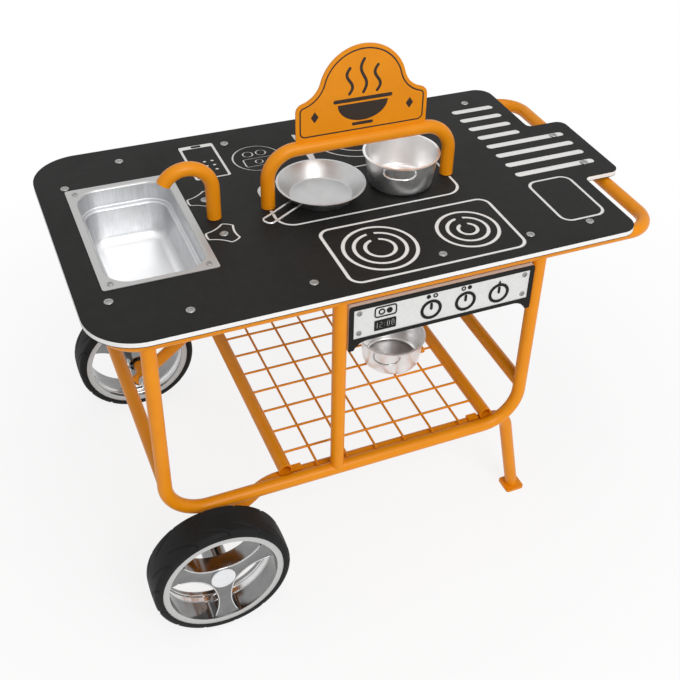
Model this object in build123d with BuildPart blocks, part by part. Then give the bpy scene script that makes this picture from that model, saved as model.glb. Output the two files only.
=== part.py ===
"""Child-size street food cart: tube frame on two wheels, board worktop, sink, arch with sign, cookware."""

import os
from math import cos, hypot, radians, sin, sqrt, tan

from build123d import *

# Worktop board: a white core between two black skins, with a tongue that reaches the push handle
deck_length = 820.0
deck_depth = 500.0
deck_height = 552.0
board_core = 7.0
board_skin = 1.0
deck_corner_wheel_end = 75.0
deck_corner_handle_end = 28.0
tongue_reach = 69.0
tongue_width = 182.0
tongue_corner = 16.0
tongue_root = 10.0

# Tube frame: lengths "from left" start at the board's left edge, "from right" at its right edge
tube = 21.3
tube_wall = 1.5
tube_inset = 26.0
handle_overhang = 48.0
handle_bend = 45.0
leg_from_left = 72.7
leg_from_right = 157.7
rail_height = 197.0
side_bend = 62.0
post_from_left = 341.8
cross_tube_height = 272.0

# Undercarriage: one bent tube a side, with a wheel at one end and a foot at the other
wheel_from_left = 131.0
carriage_roll = 24.5
strut_pitch = 38.7
strut_bend = 60.0
strut_tail = 17.0
stand_lean = 11.5
stand_bend = 34.0
stand_before_leg = 7.3
foot_side = 34.0
foot_thickness = 5.0
foot_corner = 5.0

# Wheels
wheel_diameter = 213.0
tyre_width = 59.0
tyre_height = 13.0
tyre_shoulder = 9.0
wheel_gap = 8.35
rim_recess = 1.5
rim_lip = 9.5
rim_lip_depth = 6.0
rim_wall = 5.0
spoke_count = 3
window_radius = 68.0
window_from_axle = 90.0
window_corner = 5.0
window_first_angle = 90.0
spoke_front_set_back = 2.5
spoke_dish = 5.0
spoke_depth = 26.0
hub_diameter = 36.0
hub_overhang = 6.0
hub_wall = 2.0
hub_core = 25.0
hub_recess_depth = 14.0
hub_rib = 1.8
hub_rib_count = 8
hub_pocket = 26.0
hub_pocket_depth = 13.0
bush_diameter = 18.0
bush_length = 16.0
bush_flange = 24.0
bush_flange_thickness = 2.0
cap_diameter = 38.0
cap_thickness = 2.6
cap_edge = 1.2
cap_skirt = 4.0
cap_skirt_wall = 1.5
axle_diameter = 12.0
axle_head = 20.0
axle_head_height = 5.0
sleeve_diameter = 20.0
sleeve_overhang = 5.0
washer_diameter = 24.0
washer_thickness = 1.6
nut_across = 19.0
nut_height = 8.0
axle_tail = 3.0
plug_length = 12.0
plug_head = 2.5

# Shelf under the worktop
shelf_past_bend = 7.0
shelf_from_right_leg = 50.7
wire = 4.0
mesh_pitch = 50.0
first_cross_wire = 52.5
shelf_lug_length = 18.0
shelf_lug_width = 12.0
shelf_lug_thickness = 4.0

# Sink: a pressed pan with a stacking shoulder, hung from its own plate
sink_from_left = 121.0
sink_from_middle = 7.5
sink_plate_width = 163.0
sink_plate_length = 269.0
sink_plate_corner = 4.0
sink_width = 139.0
sink_length = 246.0
sink_corner = 35.0
sink_shoulder_depth = 30.0
sink_shoulder = 8.0
sink_depth = 90.0
sink_draft = 3.0
sink_floor_round = 14.0
sink_sheet = 1.0
sink_roll = 4.0
sink_shoulder_round = 3.0
sink_shoulder_edge = 4.0
sink_screw_inset = 13.0

# Faucet, arch and sign
faucet_from_left = 231.0
spout_tube = 21.3
spout_wall = 1.5
spout_rise = 50.0
spout_bend = 38.0
spout_turn = 149.0
faucet_screw_reach = 49.0
faucet_plate_length = 130.0
faucet_plate_width = 40.0
plate_thickness = 3.0
arch_from_left = 465.0
arch_span = 300.0
arch_height = 89.0
arch_bend = 45.0
arch_plate_diameter = 56.0
arch_plate_screw_count = 3
sign_width = 210.0
sign_sheet = 3.0
sign_shoulder_height = 146.0
sign_shoulder = 14.0
sign_dome = 69.0
sign_dome_height = 170.5
sign_scoop = 40.0

# Control panel between the post and the leg
panel_below_loop = 4.0
panel_height = 65.0
panel_tab_drop = 14.5
panel_tab_width = 8.0
panel_tab_run = 30.0
panel_top_corner = 5.0
panel_set_back = 18.0
panel_side_border = 7.5
panel_top_border = 8.0
panel_low_border = 6.0
panel_screw_inset = 16.0
panel_screw_edge = 15.0

# Screws, lugs and their spacing
deck_screw_inset = 43.5
deck_screw_left_inset = 42.0
deck_screw_columns = (137.0, 310.0, 507.0, 652.0, 756.0)
deck_screw_end_rows = 151.5
tongue_screw_before_handle = 22.0
tongue_screw_reach = 49.0
screw_head = 13.0
screw_head_height = 1.6
screw_head_edge = 0.7
screw_shank = 6.0
screw_below_lug = 3.0
small_screw_head = 8.5
small_screw_head_height = 1.4
small_screw_shank = 4.0
small_screw_grip = 6.0
lug_length = 40.0
lug_overlap = 6.0
lug_width = 28.0
lug_corner = 4.0
lug_thickness = 3.0
panel_lug_height = 22.0
panel_lug_reach = 42.0

# Cookware: spun sheet vessels with wire handles
vessel_sheet = 1.0
vessel_lip = 3.0
pot_round = 6.0
handle_wire = 3.4
pan_from_left = 401.5
pan_from_middle = 3.9
pan_mouth = 66.0
pan_base = 48.5
pan_round = 2.5
pan_height = 23.5
pan_handle_angle = 211.0
pan_handle_height = 14.5
pan_handle_half_width = 9.0
pan_handle_reach = 129.0
pan_handle_bend = 7.0
pot_from_left = 533.4
pot_from_middle = -0.2
pot_mouth = 57.5
pot_base = 49.5
pot_height = 54.0
pot_handle_angle = 243.0
pot_handle_drop = 7.0
pot_handle_half_width = 24.0
pot_handle_reach = 77.5
pot_handle_bend = 20.0
small_pot_from_left = 522.7
small_pot_from_middle = -26.8
small_pot_mouth = 55.5
small_pot_base = 49.0
small_pot_height = 53.0
small_pot_handle_angle = 236.5
small_pot_handle_reach = 75.5
small_pot_handle_half_width = 22.0

# Clearances
weld_gap = 0.1
seat_gap = 0.1
running_fit = 0.05
rest_gap = 0.3
bore_gap = 0.3
screw_gap = 0.3
end_float = 0.3
past = 20.0
near = 0.05

# Turns and shapes
quarter_turn = 90.0
half_turn = 180.0
full_turn = 360.0
hexagon_sides = 6

# Levels and lines derived from the sizes above
left_edge = -(deck_length + tongue_reach) / 2
right_edge = left_edge + deck_length
front_edge = -deck_depth / 2
board = board_core + 2 * board_skin
deck_underside = deck_height - board
core_level = deck_underside + board_skin
top_skin_level = core_level + board_core
tube_bore = tube - 2 * tube_wall
loop_level = deck_underside - seat_gap - lug_thickness - weld_gap - tube / 2
side_line = front_edge + tube_inset
loop_left = left_edge + tube_inset
loop_bend = deck_corner_wheel_end - tube_inset
handle_line = right_edge + handle_overhang
left_leg = left_edge + leg_from_left
right_leg = right_edge - leg_from_right
post_line = left_edge + post_from_left
axle_level = wheel_diameter / 2
axle_line = left_edge + wheel_from_left
side_by_side = tube + weld_gap
carriage_line = side_line + side_by_side * cos(radians(carriage_roll))
carriage_level = rail_height - side_by_side * sin(radians(carriage_roll))
shelf_level = carriage_level + side_by_side
strut_run = (carriage_level - axle_level) / tan(radians(strut_pitch))
strut_bend_end = axle_line + strut_run + strut_bend * tan(radians(strut_pitch / 2))
shelf_left = strut_bend_end + shelf_past_bend
shelf_right = right_leg - shelf_from_right_leg
shelf_end = side_line + tube / 2 + weld_gap
lug_level = deck_underside - seat_gap - lug_thickness
deck_place = (left_edge + right_edge) / 2
sink_place = (left_edge + sink_from_left, sink_from_middle)
faucet_place = (left_edge + faucet_from_left, 0)
arch_line = left_edge + arch_from_left
arch_places = ((arch_line - arch_span / 2, 0), (arch_line + arch_span / 2, 0))
arch_level = deck_height + arch_height
spout_bore = spout_tube - 2 * spout_wall
spout_hole = spout_tube + 2 * bore_gap
screw_hole = screw_shank + 2 * screw_gap
small_screw_hole = small_screw_shank + 2 * screw_gap


def bent_bar(points, bend, diameter):
    """Round bar along straight runs joined by bends of one radius.

    Args:
        points: Corner points of the bar's axis.
        bend: Axis radius at each inner corner.
        diameter: Diameter of the bar.

    Returns:
        The bar as a part.
    """
    with BuildPart() as bar:
        with BuildLine() as axis_line:
            if len(points) > 2:
                FilletPolyline(*points, radius=bend)
            else:
                Line(*points)
        with BuildSketch(Plane(origin=axis_line.line @ 0, z_dir=axis_line.line % 0)):
            Circle(diameter / 2)
        sweep(path=axis_line.line)
    return bar.part


def loop_bar(diameter):
    """Front half of the loop under the board, mirrored to the whole loop.

    Args:
        diameter: Diameter of the bar.

    Returns:
        The closed loop as a part.
    """
    with BuildPart() as bar:
        with BuildLine(Plane.XY.offset(loop_level)) as axis_line:
            end_run = Line((loop_left, 0), (loop_left, side_line + loop_bend))
            first_bend = JernArc(end_run @ 1, end_run % 1, radius=loop_bend, arc_size=quarter_turn)
            side_run = Line(first_bend @ 1, (handle_line - handle_bend, side_line))
            last_bend = JernArc(side_run @ 1, side_run % 1, radius=handle_bend, arc_size=quarter_turn)
            Line(last_bend @ 1, (handle_line, 0))
        with BuildSketch(Plane(origin=axis_line.line @ 0, z_dir=axis_line.line % 0)):
            Circle(diameter / 2)
        sweep(path=axis_line.line)
        mirror(about=Plane.XZ)
    return bar.part


def spout_bar(diameter, start, rise):
    """Upright bar that bends over toward the sink.

    Args:
        diameter: Diameter of the bar.
        start: Level of the lower end.
        rise: Level where the bend begins.

    Returns:
        The bar as a part.
    """
    with BuildPart() as bar:
        with BuildLine(Plane.XZ) as axis_line:
            upright = Line((faucet_place[0], start), (faucet_place[0], rise))
            JernArc(upright @ 1, upright % 1, radius=spout_bend, arc_size=spout_turn)
        with BuildSketch(Plane(origin=axis_line.line @ 0, z_dir=axis_line.line % 0)):
            Circle(diameter / 2)
        sweep(path=axis_line.line)
    return bar.part


def sink_form(grow, lift):
    """Inner or outer form of the pressed sink, with its shoulder, draft and rounded floor.

    Args:
        grow: Distance outside the inner face.
        lift: Height of the form above the board's top.

    Returns:
        The filled form as a part.
    """
    with BuildPart() as form:
        with BuildSketch(Plane.XY.offset(deck_height + lift)):
            with Locations(sink_place):
                RectangleRounded(sink_width + 2 * grow, sink_length + 2 * grow, sink_corner + grow)
        extrude(amount=-(lift + sink_shoulder_depth + grow))
        with BuildSketch(Plane.XY.offset(deck_height - sink_shoulder_depth)):
            with Locations(sink_place):
                RectangleRounded(
                    sink_width - 2 * sink_shoulder + 2 * grow,
                    sink_length - 2 * sink_shoulder + 2 * grow,
                    sink_corner - sink_shoulder + grow,
                )
        extrude(amount=-(sink_depth - sink_shoulder_depth + grow), taper=sink_draft)
        fillet(form.faces().sort_by(Axis.Z)[0].edges(), radius=sink_floor_round + grow)
        ledge_level = deck_height - sink_shoulder_depth - grow
        ledge = form.faces().filter_by_position(Axis.Z, ledge_level - near, ledge_level + near)[0]
        fillet(ledge.outer_wire().edges(), radius=sink_shoulder_round + grow)
        ledge = form.faces().filter_by_position(Axis.Z, ledge_level - near, ledge_level + near)[0]
        fillet(ledge.inner_wires()[0].edges(), radius=sink_shoulder_edge - grow)
    return form.part


def vessel_plane(place, level, angle=0.0):
    """Upright plane through a vessel's axis.

    Args:
        place: Centre of the vessel.
        level: Level of its underside.
        angle: Direction of the plane's own X, in degrees.

    Returns:
        The plane.
    """
    along = (cos(radians(angle)), sin(radians(angle)), 0)
    across = (sin(radians(angle)), -cos(radians(angle)), 0)
    return Plane(origin=(place[0], place[1], level), x_dir=along, z_dir=across)


def vessel_section(base, mouth, height, corner):
    """Half section of a vessel: rounded base, straight flared wall and turned-out lip.

    Args:
        base: Radius where the wall's line meets the base.
        mouth: Outer radius of the wall at the lip.
        height: Height of the vessel.
        corner: Inner radius between base and wall.

    Returns:
        The section as a sketch, with the axis at its left edge.
    """
    slope = (mouth - base) / (height - vessel_sheet)
    side = vessel_sheet * sqrt(1 + slope**2)
    inner_base = base + slope * vessel_sheet - side
    inner_mouth = base + slope * height - side
    with BuildSketch() as section:
        with BuildLine():
            Polyline(
                (0, 0),
                (base, 0),
                (mouth, height - vessel_sheet),
                (mouth + vessel_lip, height - vessel_sheet),
                (mouth + vessel_lip, height),
                (inner_mouth, height),
                (inner_base, vessel_sheet),
                (0, vessel_sheet),
                close=True,
            )
        make_face()
        corners = section.vertices().filter_by(
            lambda vertex: base / 2 < vertex.X and vertex.Y < height / 2
        )
        fillet(corners.sort_by(Axis.Y)[0], radius=corner + vessel_sheet)
        inner_corners = section.vertices().filter_by(
            lambda vertex: hypot(vertex.X - inner_base, vertex.Y - vessel_sheet) < vessel_sheet / 2
        )
        fillet(inner_corners, radius=corner)
    return section.sketch


def vessel_form(place, level, base, mouth, height):
    """Filled outer form of a vessel, which its wire handles are fitted to.

    Args:
        place: Centre of the vessel.
        level: Level of its underside.
        base: Radius of the flat base.
        mouth: Outer radius of the wall at the lip.
        height: Height of the vessel.

    Returns:
        The form as a part.
    """
    with BuildPart() as form:
        with BuildSketch(vessel_plane(place, level)):
            with BuildLine():
                Polyline(
                    (0, 0),
                    (base + weld_gap, 0),
                    (mouth + weld_gap, height - vessel_sheet),
                    (mouth + weld_gap, height),
                    (0, height),
                    close=True,
                )
            make_face()
        revolve(axis=Axis((place[0], place[1], 0), (0, 0, 1)))
    return form.part


def wire_loop(place, level, angle, half_width, start, reach, bend):
    """Flat loop of handle wire that stands out from a vessel.

    Args:
        place: Centre of the vessel.
        level: Level of the wire's axis.
        angle: Direction of the loop, in degrees.
        half_width: Half the distance between the two wires.
        start: Distance of the wire's ends from the vessel's axis.
        reach: Distance of the loop's far side from the vessel's axis.
        bend: Axis radius of the two corners.

    Returns:
        The loop as a part.
    """
    along = (cos(radians(angle)), sin(radians(angle)), 0)
    with BuildPart() as loop:
        with BuildLine(Plane(origin=(place[0], place[1], level), x_dir=along, z_dir=(0, 0, 1))) as axis_line:
            FilletPolyline(
                (start, -half_width),
                (reach, -half_width),
                (reach, half_width),
                (start, half_width),
                radius=bend,
            )
        with BuildSketch(Plane(origin=axis_line.line @ 0, z_dir=axis_line.line % 0)):
            Circle(handle_wire / 2)
        sweep(path=axis_line.line)
    return loop.part


# Places of the screws that hold the board to the frame, the faucet plate and the handle
screw_columns = [left_edge + column for column in deck_screw_columns]
side_screw_line = front_edge + deck_screw_inset
side_screws = [(column, row) for column in screw_columns for row in (side_screw_line, -side_screw_line)]
end_screw_line = left_edge + deck_screw_left_inset
end_screws = [(end_screw_line, -deck_screw_end_rows), (end_screw_line, deck_screw_end_rows)]
tongue_screw_line = handle_line - tongue_screw_before_handle
tongue_screws = [(tongue_screw_line, -tongue_screw_reach), (tongue_screw_line, tongue_screw_reach)]
faucet_screws = [(faucet_place[0], -faucet_screw_reach), (faucet_place[0], faucet_screw_reach)]
deck_screw_places = side_screws + end_screws + tongue_screws + faucet_screws

sink_screw_places = [
    (
        sink_place[0] + side * (sink_plate_width / 2 - sink_screw_inset),
        sink_place[1] + end * (sink_plate_length / 2 - sink_screw_inset),
    )
    for side in (-1, 1)
    for end in (-1, 1)
]

# Places of the screws that hold the arch's plates from below
arch_screw_circle = (spout_tube + arch_plate_diameter) / 4
arch_screw_places = [
    (
        place[0] + arch_screw_circle * cos(radians(full_turn * index / arch_plate_screw_count)),
        place[1] + arch_screw_circle * sin(radians(full_turn * index / arch_plate_screw_count)),
    )
    for place in arch_places
    for index in range(arch_plate_screw_count)
]

# Board: one outline with its tongue, openings and holes for all three layers
with BuildSketch() as board_outline:
    with Locations((deck_place, 0)):
        Rectangle(deck_length, deck_depth)
    fillet(board_outline.vertices().sort_by(Axis.X)[:2], radius=deck_corner_wheel_end)
    fillet(board_outline.vertices().sort_by(Axis.X)[-2:], radius=deck_corner_handle_end)
    with Locations((right_edge, 0)):
        Rectangle(tongue_reach, tongue_width, align=(Align.MIN, Align.CENTER))
    fillet(board_outline.vertices().sort_by(Axis.X)[-2:], radius=tongue_corner)
    tongue_roots = board_outline.vertices().filter_by(
        lambda vertex: hypot(vertex.X - right_edge, abs(vertex.Y) - tongue_width / 2) < screw_gap
    )
    fillet(tongue_roots, radius=tongue_root)
    with Locations(sink_place):
        RectangleRounded(
            sink_width + 2 * sink_roll + 2 * bore_gap,
            sink_length + 2 * sink_roll + 2 * bore_gap,
            sink_corner + sink_roll + bore_gap,
            mode=Mode.SUBTRACT,
        )
    with Locations(faucet_place, *arch_places):
        Circle(spout_hole / 2, mode=Mode.SUBTRACT)
    with Locations(*deck_screw_places):
        Circle(screw_hole / 2, mode=Mode.SUBTRACT)

with BuildPart() as deck_bottom_skin:
    with BuildSketch(Plane.XY.offset(deck_underside)):
        add(board_outline.sketch)
        with Locations(*arch_screw_places):
            Circle(small_screw_hole / 2, mode=Mode.SUBTRACT)
    extrude(amount=board_skin)

with BuildPart() as deck_core:
    with BuildSketch(Plane.XY.offset(core_level)):
        add(board_outline.sketch)
        with Locations(*arch_screw_places, *sink_screw_places):
            Circle(small_screw_hole / 2, mode=Mode.SUBTRACT)
    extrude(amount=board_core)

with BuildPart() as deck_top_skin:
    with BuildSketch(Plane.XY.offset(top_skin_level)):
        add(board_outline.sketch)
        with Locations(*sink_screw_places):
            Circle(small_screw_hole / 2, mode=Mode.SUBTRACT)
    extrude(amount=board_skin)

# Loop of tube under the board, whose end beyond the board is the push handle
loop_outer = loop_bar(tube)
loop_bore = loop_bar(tube_bore)
loop_relief = loop_bar(tube + 2 * weld_gap)

with BuildPart() as top_loop:
    add(loop_outer)
    add(loop_bore, mode=Mode.SUBTRACT)

# Side frames: a U of tube, coped to the loop at both tops
side_corners = (
    (left_leg, side_line, loop_level),
    (left_leg, side_line, rail_height),
    (right_leg, side_line, rail_height),
    (right_leg, side_line, loop_level),
)
side_outer = bent_bar(side_corners, side_bend, tube)
side_bore = bent_bar(side_corners, side_bend, tube_bore)
side_relief = bent_bar(side_corners, side_bend, tube + 2 * weld_gap)

with BuildPart() as front_side_frame:
    add(side_outer)
    add(side_bore, mode=Mode.SUBTRACT)
    add(loop_relief, mode=Mode.SUBTRACT)

with BuildPart() as rear_side_frame:
    mirror(front_side_frame.part, about=Plane.XZ)

# Posts between the loop and the rails
post_ends = ((post_line, side_line, rail_height), (post_line, side_line, loop_level))
post_outer = bent_bar(post_ends, tube, tube)
post_bore = bent_bar(post_ends, tube, tube_bore)
post_relief = bent_bar(post_ends, tube, tube + 2 * weld_gap)

with BuildPart() as front_post:
    add(post_outer)
    add(post_bore, mode=Mode.SUBTRACT)
    add(loop_relief, mode=Mode.SUBTRACT)
    add(side_relief, mode=Mode.SUBTRACT)

with BuildPart() as rear_post:
    mirror(front_post.part, about=Plane.XZ)

with BuildPart() as post_reliefs:
    add(post_relief)
    mirror(post_relief, about=Plane.XZ)

# Cross tubes between the two side frames, coped on their legs
with BuildPart() as side_reliefs:
    add(side_relief)
    mirror(side_relief, about=Plane.XZ)

with BuildPart() as left_cross_tube:
    with BuildSketch(Plane(origin=(left_leg, side_line, cross_tube_height), z_dir=(0, 1, 0))):
        Circle(tube / 2)
        Circle(tube_bore / 2, mode=Mode.SUBTRACT)
    extrude(amount=-2 * side_line)
    add(side_reliefs.part, mode=Mode.SUBTRACT)

with BuildPart() as right_cross_tube:
    with BuildSketch(Plane(origin=(right_leg, side_line, cross_tube_height), z_dir=(0, 1, 0))):
        Circle(tube / 2)
        Circle(tube_bore / 2, mode=Mode.SUBTRACT)
    extrude(amount=-2 * side_line)
    add(side_reliefs.part, mode=Mode.SUBTRACT)

# Undercarriage tubes: up from the axle, along the rail's inner side and down to the foot
stand_top = right_leg - stand_before_leg
stand_reach = (carriage_level + past) * tan(radians(stand_lean))
strut_low_end = (
    axle_line - strut_tail * cos(radians(strut_pitch)),
    carriage_line,
    axle_level - strut_tail * sin(radians(strut_pitch)),
)
strut_top = (axle_line + strut_run, carriage_line, carriage_level)
stand_corner = (stand_top, carriage_line, carriage_level)
stand_low_end = (stand_top + stand_reach, carriage_line, -past)
foot_line = stand_top + (carriage_level - foot_thickness) * tan(radians(stand_lean))


def carriage_bar(diameter):
    """Undercarriage bar with its wide bend at the strut and its tight bend at the stand.

    Args:
        diameter: Diameter of the bar.

    Returns:
        The bar as a part, which runs past the foot.
    """
    with BuildPart() as bar:
        with BuildLine() as axis_line:
            FilletPolyline(
                strut_low_end,
                strut_top,
                stand_corner,
                stand_low_end,
                radius=[strut_bend, stand_bend],
            )
        with BuildSketch(Plane(origin=axis_line.line @ 0, z_dir=axis_line.line % 0)):
            Circle(diameter / 2)
        sweep(path=axis_line.line)
    return bar.part


carriage_outer = carriage_bar(tube)
carriage_bore = carriage_bar(tube_bore)

with BuildPart() as front_undercarriage:
    add(carriage_outer)
    add(carriage_bore, mode=Mode.SUBTRACT)
    with BuildSketch(Plane.XY.offset(foot_thickness + weld_gap)):
        with Locations((foot_line, carriage_line)):
            Rectangle(foot_side + past, foot_side + past)
    extrude(amount=-2 * past, mode=Mode.SUBTRACT)
    with BuildSketch(Plane(origin=(axle_line, carriage_line, axle_level), z_dir=(0, 1, 0))):
        Circle(sleeve_diameter / 2 + weld_gap)
    extrude(amount=tube, both=True, mode=Mode.SUBTRACT)

with BuildPart() as rear_undercarriage:
    mirror(front_undercarriage.part, about=Plane.XZ)

with BuildPart() as foot_plates:
    with BuildSketch():
        with Locations((foot_line, carriage_line), (foot_line, -carriage_line)):
            RectangleRounded(foot_side, foot_side, foot_corner)
    extrude(amount=foot_thickness)

# Plugs in the open ends of the two struts
strut_plane = Plane(
    origin=strut_low_end,
    x_dir=(0, 1, 0),
    z_dir=(-cos(radians(strut_pitch)), 0, -sin(radians(strut_pitch))),
)
sleeve_room = strut_tail - sleeve_diameter / 2
plug_depth = min(plug_length, sleeve_room - bore_gap)

with BuildPart() as strut_plugs:
    with BuildSketch(strut_plane.offset(seat_gap)):
        Circle(tube / 2)
    extrude(amount=plug_head)
    chamfer(strut_plugs.faces().sort_by(Axis.X)[0].edges(), length=plug_head / 2)
    with BuildSketch(strut_plane.offset(seat_gap)):
        Circle(tube_bore / 2 - bore_gap)
    extrude(amount=-plug_depth)
    mirror(about=Plane.XZ)

# Shelf: two cross tubes on the undercarriage and a wire mesh between them
with BuildPart() as shelf_left_tube:
    with BuildSketch(Plane(origin=(shelf_left, shelf_end, shelf_level), z_dir=(0, 1, 0))):
        Circle(tube / 2)
        Circle(tube_bore / 2, mode=Mode.SUBTRACT)
    extrude(amount=-2 * shelf_end)

with BuildPart() as shelf_right_tube:
    with BuildSketch(Plane(origin=(shelf_right, shelf_end, shelf_level), z_dir=(0, 1, 0))):
        Circle(tube / 2)
        Circle(tube_bore / 2, mode=Mode.SUBTRACT)
    extrude(amount=-2 * shelf_end)

long_wire_start = shelf_left + tube / 2 + weld_gap
long_wire_end = shelf_right - tube / 2 - weld_gap
cross_wire_level = shelf_level - wire - weld_gap
cross_wire_drop = cross_wire_level - rail_height
cross_wire_end = side_line + sqrt((tube / 2 + weld_gap) ** 2 - (abs(cross_wire_drop) - wire / 2) ** 2)
long_wires = int(-2 * shelf_end / mesh_pitch)
cross_wires = int((long_wire_end - shelf_left - first_cross_wire) / mesh_pitch) + 1
cross_wire_span = (cross_wires - 1) * mesh_pitch
mesh_middle = shelf_left + first_cross_wire + cross_wire_span / 2

long_wire_plane = Plane(origin=(long_wire_start, 0, shelf_level), x_dir=(0, 1, 0), z_dir=(1, 0, 0))
cross_wire_plane = Plane(
    origin=(mesh_middle, cross_wire_end, cross_wire_level),
    x_dir=(1, 0, 0),
    z_dir=(0, 1, 0),
)

with BuildPart() as shelf_mesh:
    with BuildSketch(long_wire_plane):
        with GridLocations(mesh_pitch, mesh_pitch, long_wires, 1):
            Circle(wire / 2)
    extrude(amount=long_wire_end - long_wire_start)
    with BuildSketch(cross_wire_plane):
        with GridLocations(mesh_pitch, mesh_pitch, cross_wires, 1):
            Circle(wire / 2)
    extrude(amount=-2 * cross_wire_end)
    add(post_reliefs.part, mode=Mode.SUBTRACT)

shelf_lug_offset = tube / 2 + weld_gap + shelf_lug_length / 2
shelf_lug_places = [
    (middle, row)
    for middle in (shelf_left + shelf_lug_offset, shelf_right - shelf_lug_offset)
    for row in (carriage_line, -carriage_line)
]

with BuildPart() as shelf_lugs:
    with BuildSketch(Plane.XY.offset(carriage_level + tube / 2 + weld_gap)):
        with Locations(*shelf_lug_places):
            Rectangle(shelf_lug_length, shelf_lug_width)
    extrude(amount=shelf_lug_thickness)

# Lugs that carry the board, welded on top of the loop and reaching inward to the screws
side_lug_middle = side_line + lug_length / 2 - lug_overlap
end_lug_middle = loop_left + lug_length / 2 - lug_overlap
tongue_lug_middle = handle_line - lug_length / 2 + lug_overlap

with BuildPart() as deck_lugs:
    with BuildSketch(Plane.XY.offset(lug_level)):
        for column in screw_columns:
            with Locations((column, side_lug_middle), (column, -side_lug_middle)):
                RectangleRounded(lug_width, lug_length, lug_corner)
        with Locations((end_lug_middle, -deck_screw_end_rows), (end_lug_middle, deck_screw_end_rows)):
            RectangleRounded(lug_length, lug_width, lug_corner)
        with Locations((tongue_lug_middle, -tongue_screw_reach), (tongue_lug_middle, tongue_screw_reach)):
            RectangleRounded(lug_length, lug_width, lug_corner)
        with Locations(*side_screws, *end_screws, *tongue_screws):
            Circle(screw_hole / 2, mode=Mode.SUBTRACT)
    extrude(amount=lug_thickness)

# Screws of the board, with flat round heads
with BuildPart() as deck_screws:
    with BuildSketch(Plane.XY.offset(deck_height + seat_gap)):
        with Locations(*deck_screw_places):
            Circle(screw_head / 2)
    extrude(amount=screw_head_height)
    chamfer(deck_screws.faces().sort_by(Axis.Z)[-1].edges(), length=screw_head_edge)
    with BuildSketch(Plane.XY.offset(deck_height + seat_gap)):
        with Locations(*deck_screw_places):
            Circle(screw_shank / 2)
    extrude(amount=-(board + lug_thickness + screw_below_lug))

# Sink bowl, pressed with its plate
sink_outer = sink_form(sink_sheet, seat_gap + sink_sheet)
sink_inner = sink_form(0, past)

with BuildPart() as sink_bowl:
    with BuildSketch(Plane.XY.offset(deck_height + seat_gap)):
        with Locations(sink_place):
            RectangleRounded(sink_plate_width, sink_plate_length, sink_plate_corner)
        with Locations(*sink_screw_places):
            Circle(small_screw_hole / 2, mode=Mode.SUBTRACT)
    extrude(amount=sink_sheet)
    add(sink_outer)
    plate_level = deck_height + seat_gap
    plate_faces = sink_bowl.faces().filter_by(Axis.Z)
    plate_underside = plate_faces.filter_by_position(Axis.Z, plate_level - near, plate_level + near)[0]
    fillet(plate_underside.inner_wires().sort_by(SortBy.LENGTH)[-1].edges(), radius=sink_roll - sink_sheet)
    add(sink_inner, mode=Mode.SUBTRACT)
    plate_top = sink_bowl.faces().sort_by(Axis.Z)[-1]
    fillet(plate_top.inner_wires().sort_by(SortBy.LENGTH)[-1].edges(), radius=sink_roll)

with BuildPart() as sink_screws:
    with BuildSketch(Plane.XY.offset(deck_height + 2 * seat_gap + sink_sheet)):
        with Locations(*sink_screw_places):
            Circle(small_screw_head / 2)
    extrude(amount=small_screw_head_height)
    chamfer(sink_screws.faces().sort_by(Axis.Z)[-1].edges(), length=screw_head_edge)
    with BuildSketch(Plane.XY.offset(deck_height + 2 * seat_gap + sink_sheet)):
        with Locations(*sink_screw_places):
            Circle(small_screw_shank / 2)
    extrude(amount=-small_screw_grip)

# Faucet: a bent tube on a plate under the board
spout_foot = deck_underside - seat_gap - plate_thickness
spout_outer = spout_bar(spout_tube, spout_foot, deck_height + spout_rise)
spout_inner = spout_bar(spout_bore, spout_foot, deck_height + spout_rise)

with BuildPart() as faucet_tube:
    add(spout_outer)
    add(spout_inner, mode=Mode.SUBTRACT)

with BuildPart() as faucet_plate:
    with BuildSketch(Plane.XY.offset(spout_foot)):
        with Locations(faucet_place):
            RectangleRounded(faucet_plate_width, faucet_plate_length, tongue_root)
            Circle(spout_tube / 2 + weld_gap, mode=Mode.SUBTRACT)
        with Locations(*faucet_screws):
            Circle(screw_hole / 2, mode=Mode.SUBTRACT)
    extrude(amount=plate_thickness)

# Arch over the rear hob, welded to two round plates under the board
arch_corners = (
    (arch_places[0][0], 0, spout_foot),
    (arch_places[0][0], 0, arch_level),
    (arch_places[1][0], 0, arch_level),
    (arch_places[1][0], 0, spout_foot),
)
arch_outer = bent_bar(arch_corners, arch_bend, spout_tube)
arch_inner = bent_bar(arch_corners, arch_bend, spout_bore)
arch_relief = bent_bar(arch_corners, arch_bend, spout_tube + 2 * weld_gap)

with BuildPart() as arch_tube:
    add(arch_outer)
    add(arch_inner, mode=Mode.SUBTRACT)

with BuildPart() as arch_plates:
    with BuildSketch(Plane.XY.offset(spout_foot)):
        with Locations(*arch_places):
            Circle(arch_plate_diameter / 2)
            Circle(spout_tube / 2 + weld_gap, mode=Mode.SUBTRACT)
        with Locations(*arch_screw_places):
            Circle(small_screw_hole / 2, mode=Mode.SUBTRACT)
    extrude(amount=plate_thickness)

with BuildPart() as arch_plate_screws:
    with BuildSketch(Plane.XY.offset(spout_foot - seat_gap)):
        with Locations(*arch_screw_places):
            Circle(small_screw_head / 2)
    extrude(amount=-small_screw_head_height)
    with BuildSketch(Plane.XY.offset(spout_foot - seat_gap)):
        with Locations(*arch_screw_places):
            Circle(small_screw_shank / 2)
    extrude(amount=plate_thickness + seat_gap + small_screw_grip)

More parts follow.
